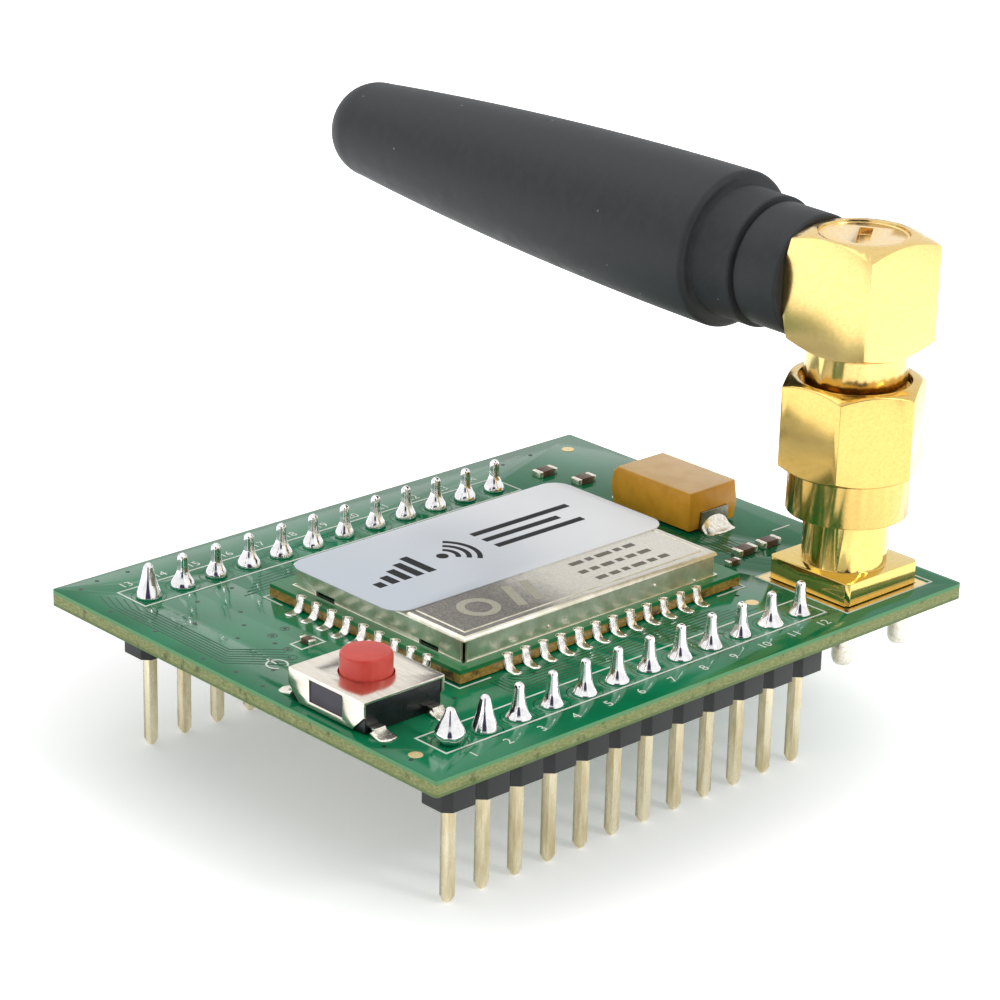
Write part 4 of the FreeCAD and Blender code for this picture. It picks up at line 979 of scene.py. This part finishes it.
# Plain pin numbers, 1 to 24, as thin closed text made into a mesh
def makeNumbers():
    work = bmesh.new()
    for y, first in numbers["rows"]:
        for index, (x, _) in enumerate(pinPlaces(y)):
            curve = bpy.data.curves.new("number", "FONT")
            curve.body = str(first + index)
            curve.size = numbers["size"] * mm
            curve.align_x = "CENTER"
            curve.extrude = numbers["halfHeight"] * mm
            holder = newObject("number", curve)
            mesh = bpy.data.meshes.new_from_object(
                holder.evaluated_get(bpy.context.evaluated_depsgraph_get()))
            mesh.transform(Matrix.Translation((x * mm, y * mm,
                                               (top + numbers["halfHeight"]) * mm)))
            work.from_mesh(mesh)
            bpy.data.objects.remove(holder)
    bmesh.ops.remove_doubles(work, verts=work.verts, dist=1e-7)
    bmesh.ops.recalc_face_normals(work, faces=work.faces)
    mesh = bpy.data.meshes.new("pinNumbers")
    work.to_mesh(mesh)
    work.free()
    mesh.materials.clear()
    mesh.materials.append(finishes["silk"])
    piece = newObject("pinNumbers", mesh)
    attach(piece, "board")


makeSilk()
makeTraces()
makeVias()
makePads()
makeNumbers()
print("stage: board print")


# Plain print on the label: rising bars, a dot with waves, and three rows as (y, end)
printed = {"depth": 0.004, "height": 0.012, "barCount": 5, "barX": -6.4, "barPitch": 0.95,
           "barWidth": 0.6, "barFoot": 0.8, "barTop": 1.5, "barRise": 0.5, "dot": (-0.6, 2.2),
           "dotRadius": 0.38, "waveRadii": (0.95, 1.6, 2.25), "waveAngle": 48,
           "waveWidth": 0.32, "rowX": 3.0, "rowWidth": 0.5,
           "rows": ((3.55, 11.0), (2.45, 9.2), (1.35, 10.2))}


# Each bar is one step longer than the one before; the waves are arcs round the dot
def makeLabelPrint():
    p = printed
    low, high = place["labelTop"] - p["depth"], place["labelTop"] + p["height"]
    parts = []
    for index in range(p["barCount"]):
        x = p["barX"] + p["barPitch"] * index
        parts.append(ribbon([(x, p["barFoot"]), (x, p["barTop"] + p["barRise"] * index)],
                            p["barWidth"], low, high))
    for radius in p["waveRadii"]:
        parts.append(ribbon(arcPoints(p["dot"], radius, -p["waveAngle"], p["waveAngle"], 24),
                            p["waveWidth"], low, high))
    parts.append(discs([(*p["dot"], 0)], [(p["dotRadius"], low), (p["dotRadius"], high),
                                          (0.01, high)], 32))
    parts += [ribbon([(p["rowX"], y), (end, y)], p["rowWidth"], low, high) for y, end in p["rows"]]
    addJoined("labelPrint", parts, "ink")


# Marks on the can: a ring, two slanted bars, rows of dashes as (y, start, lengths), and round
# beads on its front wall as (x, height above the board)
etched = {"depth": 0.004, "height": 0.01, "ring": (-4.1, -4.8), "ringRadius": 1.05,
          "ringWidth": 0.5, "slants": ([(-1.9, -6.2), (-0.8, -3.5)], [(-0.5, -6.2), (0.6, -3.5)]),
          "slantWidth": 0.6, "dashWidth": 0.42, "dashGap": 0.32,
          "rows": ((-3.55, 4.4, (1.0, 0.5, 1.2, 0.5, 0.8)),
                   (-4.8, 4.0, (0.6, 0.6, 0.9, 0.5, 0.7, 0.9)),
                   (-6.05, 4.2, (0.8, 0.7, 0.5, 1.0, 0.6, 0.7))),
          "beads": [(7.5, 1.66), (10.9, 1.07), (-1.2, 1.4)], "beadColumns": 20,
          "bead": [(0.13, 0.01), (0.11, -0.04), (0.06, -0.07), (0.001, -0.08)]}


# Each dash starts where the one before ended, plus the gap
def makeCanMarks():
    e = etched
    low, high = place["canTop"] - e["depth"], place["canTop"] + e["height"]
    circle = arcPoints(e["ring"], e["ringRadius"], 0, 360, 41)[:-1]
    pale = [ribbon(circle, e["ringWidth"], low, high, True)]
    pale += [ribbon(line, e["slantWidth"], low, high) for line in e["slants"]]
    addJoined("canMarksPale", pale, "etchPale")
    dark = []
    for y, x, lengths in e["rows"]:
        for length in lengths:
            dark.append(ribbon([(x, y), (x + length, y)], e["dashWidth"], low, high))
            x += length + e["dashGap"]
    addJoined("canMarksDark", dark, "etchDark")
    bead = turnedGrid(e["bead"], e["beadColumns"], (0, 0, 0), "y")
    faces = [face[::-1] for face in gridFaces(len(e["bead"]), e["beadColumns"])]
    addJoined("canBeads", [(bead + np.array((x, place["canBox"][2], top + z)), faces)
                           for x, z in e["beads"]], "can", True)


makeLabelPrint()
makeCanMarks()
print("stage: label and can print")


# Floor and light. The floor is white to the camera except where the object shades it: its own
# glow grows from floorLift to farLift between the two distances in far, in metres
studio = {"floorSize": 6.0, "floorLift": 0.29, "farLift": 1.05, "middle": (0.0, 0.005, 0.0),
          "far": (0.013, 0.056), "ahead": (-0.687, -0.727, 0), "aside": (0.727, -0.687, 0),
          "dimStart": (0.035, 0.055), "dimSlope": 0.4, "dimEdge": (0.02, 0.0),
          "world": 0.62, "opening": (-0.664, -0.702, 0.259), "openingEdge": (0.84, 0.93),
          "openingTop": (0.64, 0.5), "openingTone": (0.05, 0.04, 0.08, 1.0),
          "lampTarget": (0.004, 0.0, 0.014), "lampDistance": 0.6,
          "pale": (0.90, 0.90, 0.90, 1), "paler": (0.92, 0.92, 0.92, 1)}
# Lamps: azimuth and elevation in degrees, size in metres, brightness
lamps = {"keyLamp": (112.0, 62.0, 0.5, 0.9), "frontLamp": (285.0, 40.0, 0.12, 10.0)}


# A white plane. In mirrors it is dark in a wedge on the camera's side, where the distance
# aside, less dimSlope times the distance ahead, is small
def makeFloor():
    s = studio
    half = s["floorSize"] / 2
    mesh = bpy.data.meshes.new("floor")
    mesh.from_pydata([(x, y, 0) for x, y in rectangle(-half, half, -half, half)], [],
                     [(0, 1, 2, 3)])
    finish, tree, shader, where = newFinish("paleFloor", 0.8, 0.0, Specular_IOR_Level=0.1)
    soft = noise(tree, where, 300.0, 2.0)
    tree.links.new(mixColour(tree, soft, s["pale"], s["paler"]), shader.inputs["Base Color"])
    path = addNode(tree, "ShaderNodeLightPath").outputs
    seen = math2(tree, "MAXIMUM", path["Is Camera Ray"], path["Is Transmission Ray"])
    seen = math2(tree, "MAXIMUM", seen, path["Is Glossy Ray"])
    far = ramp(tree, vector2(tree, "DISTANCE", where, s["middle"]), *s["far"])
    lift = math2(tree, "ADD", s["floorLift"],
                 times(tree, far, s["farLift"] - s["floorLift"]))
    ahead = vector2(tree, "DOT_PRODUCT", where, s["ahead"])
    aside = math2(tree, "ABSOLUTE", vector2(tree, "DOT_PRODUCT", where, s["aside"]))
    wide = math2(tree, "SUBTRACT", aside, times(tree, ahead, s["dimSlope"]))
    dim = times(tree, ramp(tree, ahead, *s["dimStart"]),
                ramp(tree, wide, *s["dimEdge"]))
    dim = times(tree, dim, path["Is Glossy Ray"])
    lift = times(tree, lift, math2(tree, "SUBTRACT", 1.0, dim))
    shader.inputs["Emission Color"].default_value = white
    tree.links.new(times(tree, seen, lift), shader.inputs["Emission Strength"])
    mesh.materials.append(finish)
    newObject("floor", mesh)


# Square lamp aimed at the object. Its power is pi times its area times its brightness
def makeLamp(name, azimuth, elevation, size, strength):
    az, el = math.radians(azimuth), math.radians(elevation)
    toLamp = np.array([math.cos(az) * math.cos(el), math.sin(az) * math.cos(el), math.sin(el)])
    data = bpy.data.lights.new(name, "AREA")
    data.shape = "SQUARE"
    data.size = size
    data.energy = math.pi * size * size * strength
    side = np.cross([0, 0, 1.0], toLamp)
    side /= np.linalg.norm(side)
    aim(newObject(name, data), np.array(studio["lampTarget"]) + toLamp * studio["lampDistance"],
        side, np.cross(toLamp, side), toLamp)


# Place an object with its own x, y and z along three given directions
def aim(thing, where, xAxis, yAxis, zAxis):
    turn = Matrix(np.stack([xAxis, yAxis, zAxis], 1).tolist()).to_4x4()
    thing.matrix_world = Matrix.Translation(where) @ turn


# White for the eye and for mirrors, with a dim opening on the camera's side of the tent that
# draws the dark lines on the bright metal, and an even level for everything else
def makeWorld():
    s = studio
    world = bpy.data.worlds.new("studioSky")
    bpy.context.scene.world = world
    world.use_nodes = True
    tree = world.node_tree
    tree.nodes.clear()
    path = addNode(tree, "ShaderNodeLightPath").outputs
    seen = math2(tree, "MAXIMUM", path["Is Camera Ray"], path["Is Transmission Ray"])
    direction = addNode(tree, "ShaderNodeTexCoord").outputs["Generated"]
    toward = vector2(tree, "DOT_PRODUCT", direction, s["opening"])
    low = ramp(tree, axisOf(tree, direction, 2), *s["openingTop"])
    dim = times(tree, ramp(tree, toward, *s["openingEdge"]), low)
    gloss = mixColour(tree, dim, white, s["openingTone"])
    colour = mixColour(tree, path["Is Glossy Ray"], (s["world"],) * 3 + (1,), gloss)
    colour = mixColour(tree, seen, colour, white)
    back = addNode(tree, "ShaderNodeBackground", {"Color": colour, "Strength": 1.0})
    out = addNode(tree, "ShaderNodeOutputWorld")
    tree.links.new(back.outputs[0], out.inputs[0])


# The photograph's viewing angle in degrees, the camera's place in millimetres, and its focal
# length in pixels of a picture that is pictureSize wide
view = {"azimuth": -43.39, "elevation": 20.96, "roll": 1.40, "focalPixels": 3322.7,
        "pictureSize": 1000.0, "sensor": 36.0, "place": (-124.0, -133.2, 86.04)}


# Turned about the vertical, tipped down, slightly rolled: the roll turns right and up about the
# line of sight
def makeCamera():
    az, el, roll = (math.radians(view[k]) for k in ("azimuth", "elevation", "roll"))
    back = np.array([math.sin(az) * math.cos(el), -math.cos(az) * math.cos(el), math.sin(el)])
    right = np.cross(-back, [0, 0, 1.0])
    right /= np.linalg.norm(right)
    up = np.cross(right, -back)
    data = bpy.data.cameras.new("photoCamera")
    data.sensor_width = view["sensor"]
    data.lens = view["sensor"] * view["focalPixels"] / view["pictureSize"]
    data.clip_start = 0.01
    data.clip_end = 50.0
    camera = newObject("photoCamera", data)
    aim(camera, np.array(view["place"]) * mm, math.cos(roll) * right + math.sin(roll) * up,
        -math.sin(roll) * right + math.cos(roll) * up, back)
    bpy.context.scene.camera = camera


makeFloor()
for name, values in lamps.items():
    makeLamp(name, *values)
makeWorld()
makeCamera()
bpy.context.scene.view_settings.view_transform = "Standard"
print("stage: floor, light and camera")
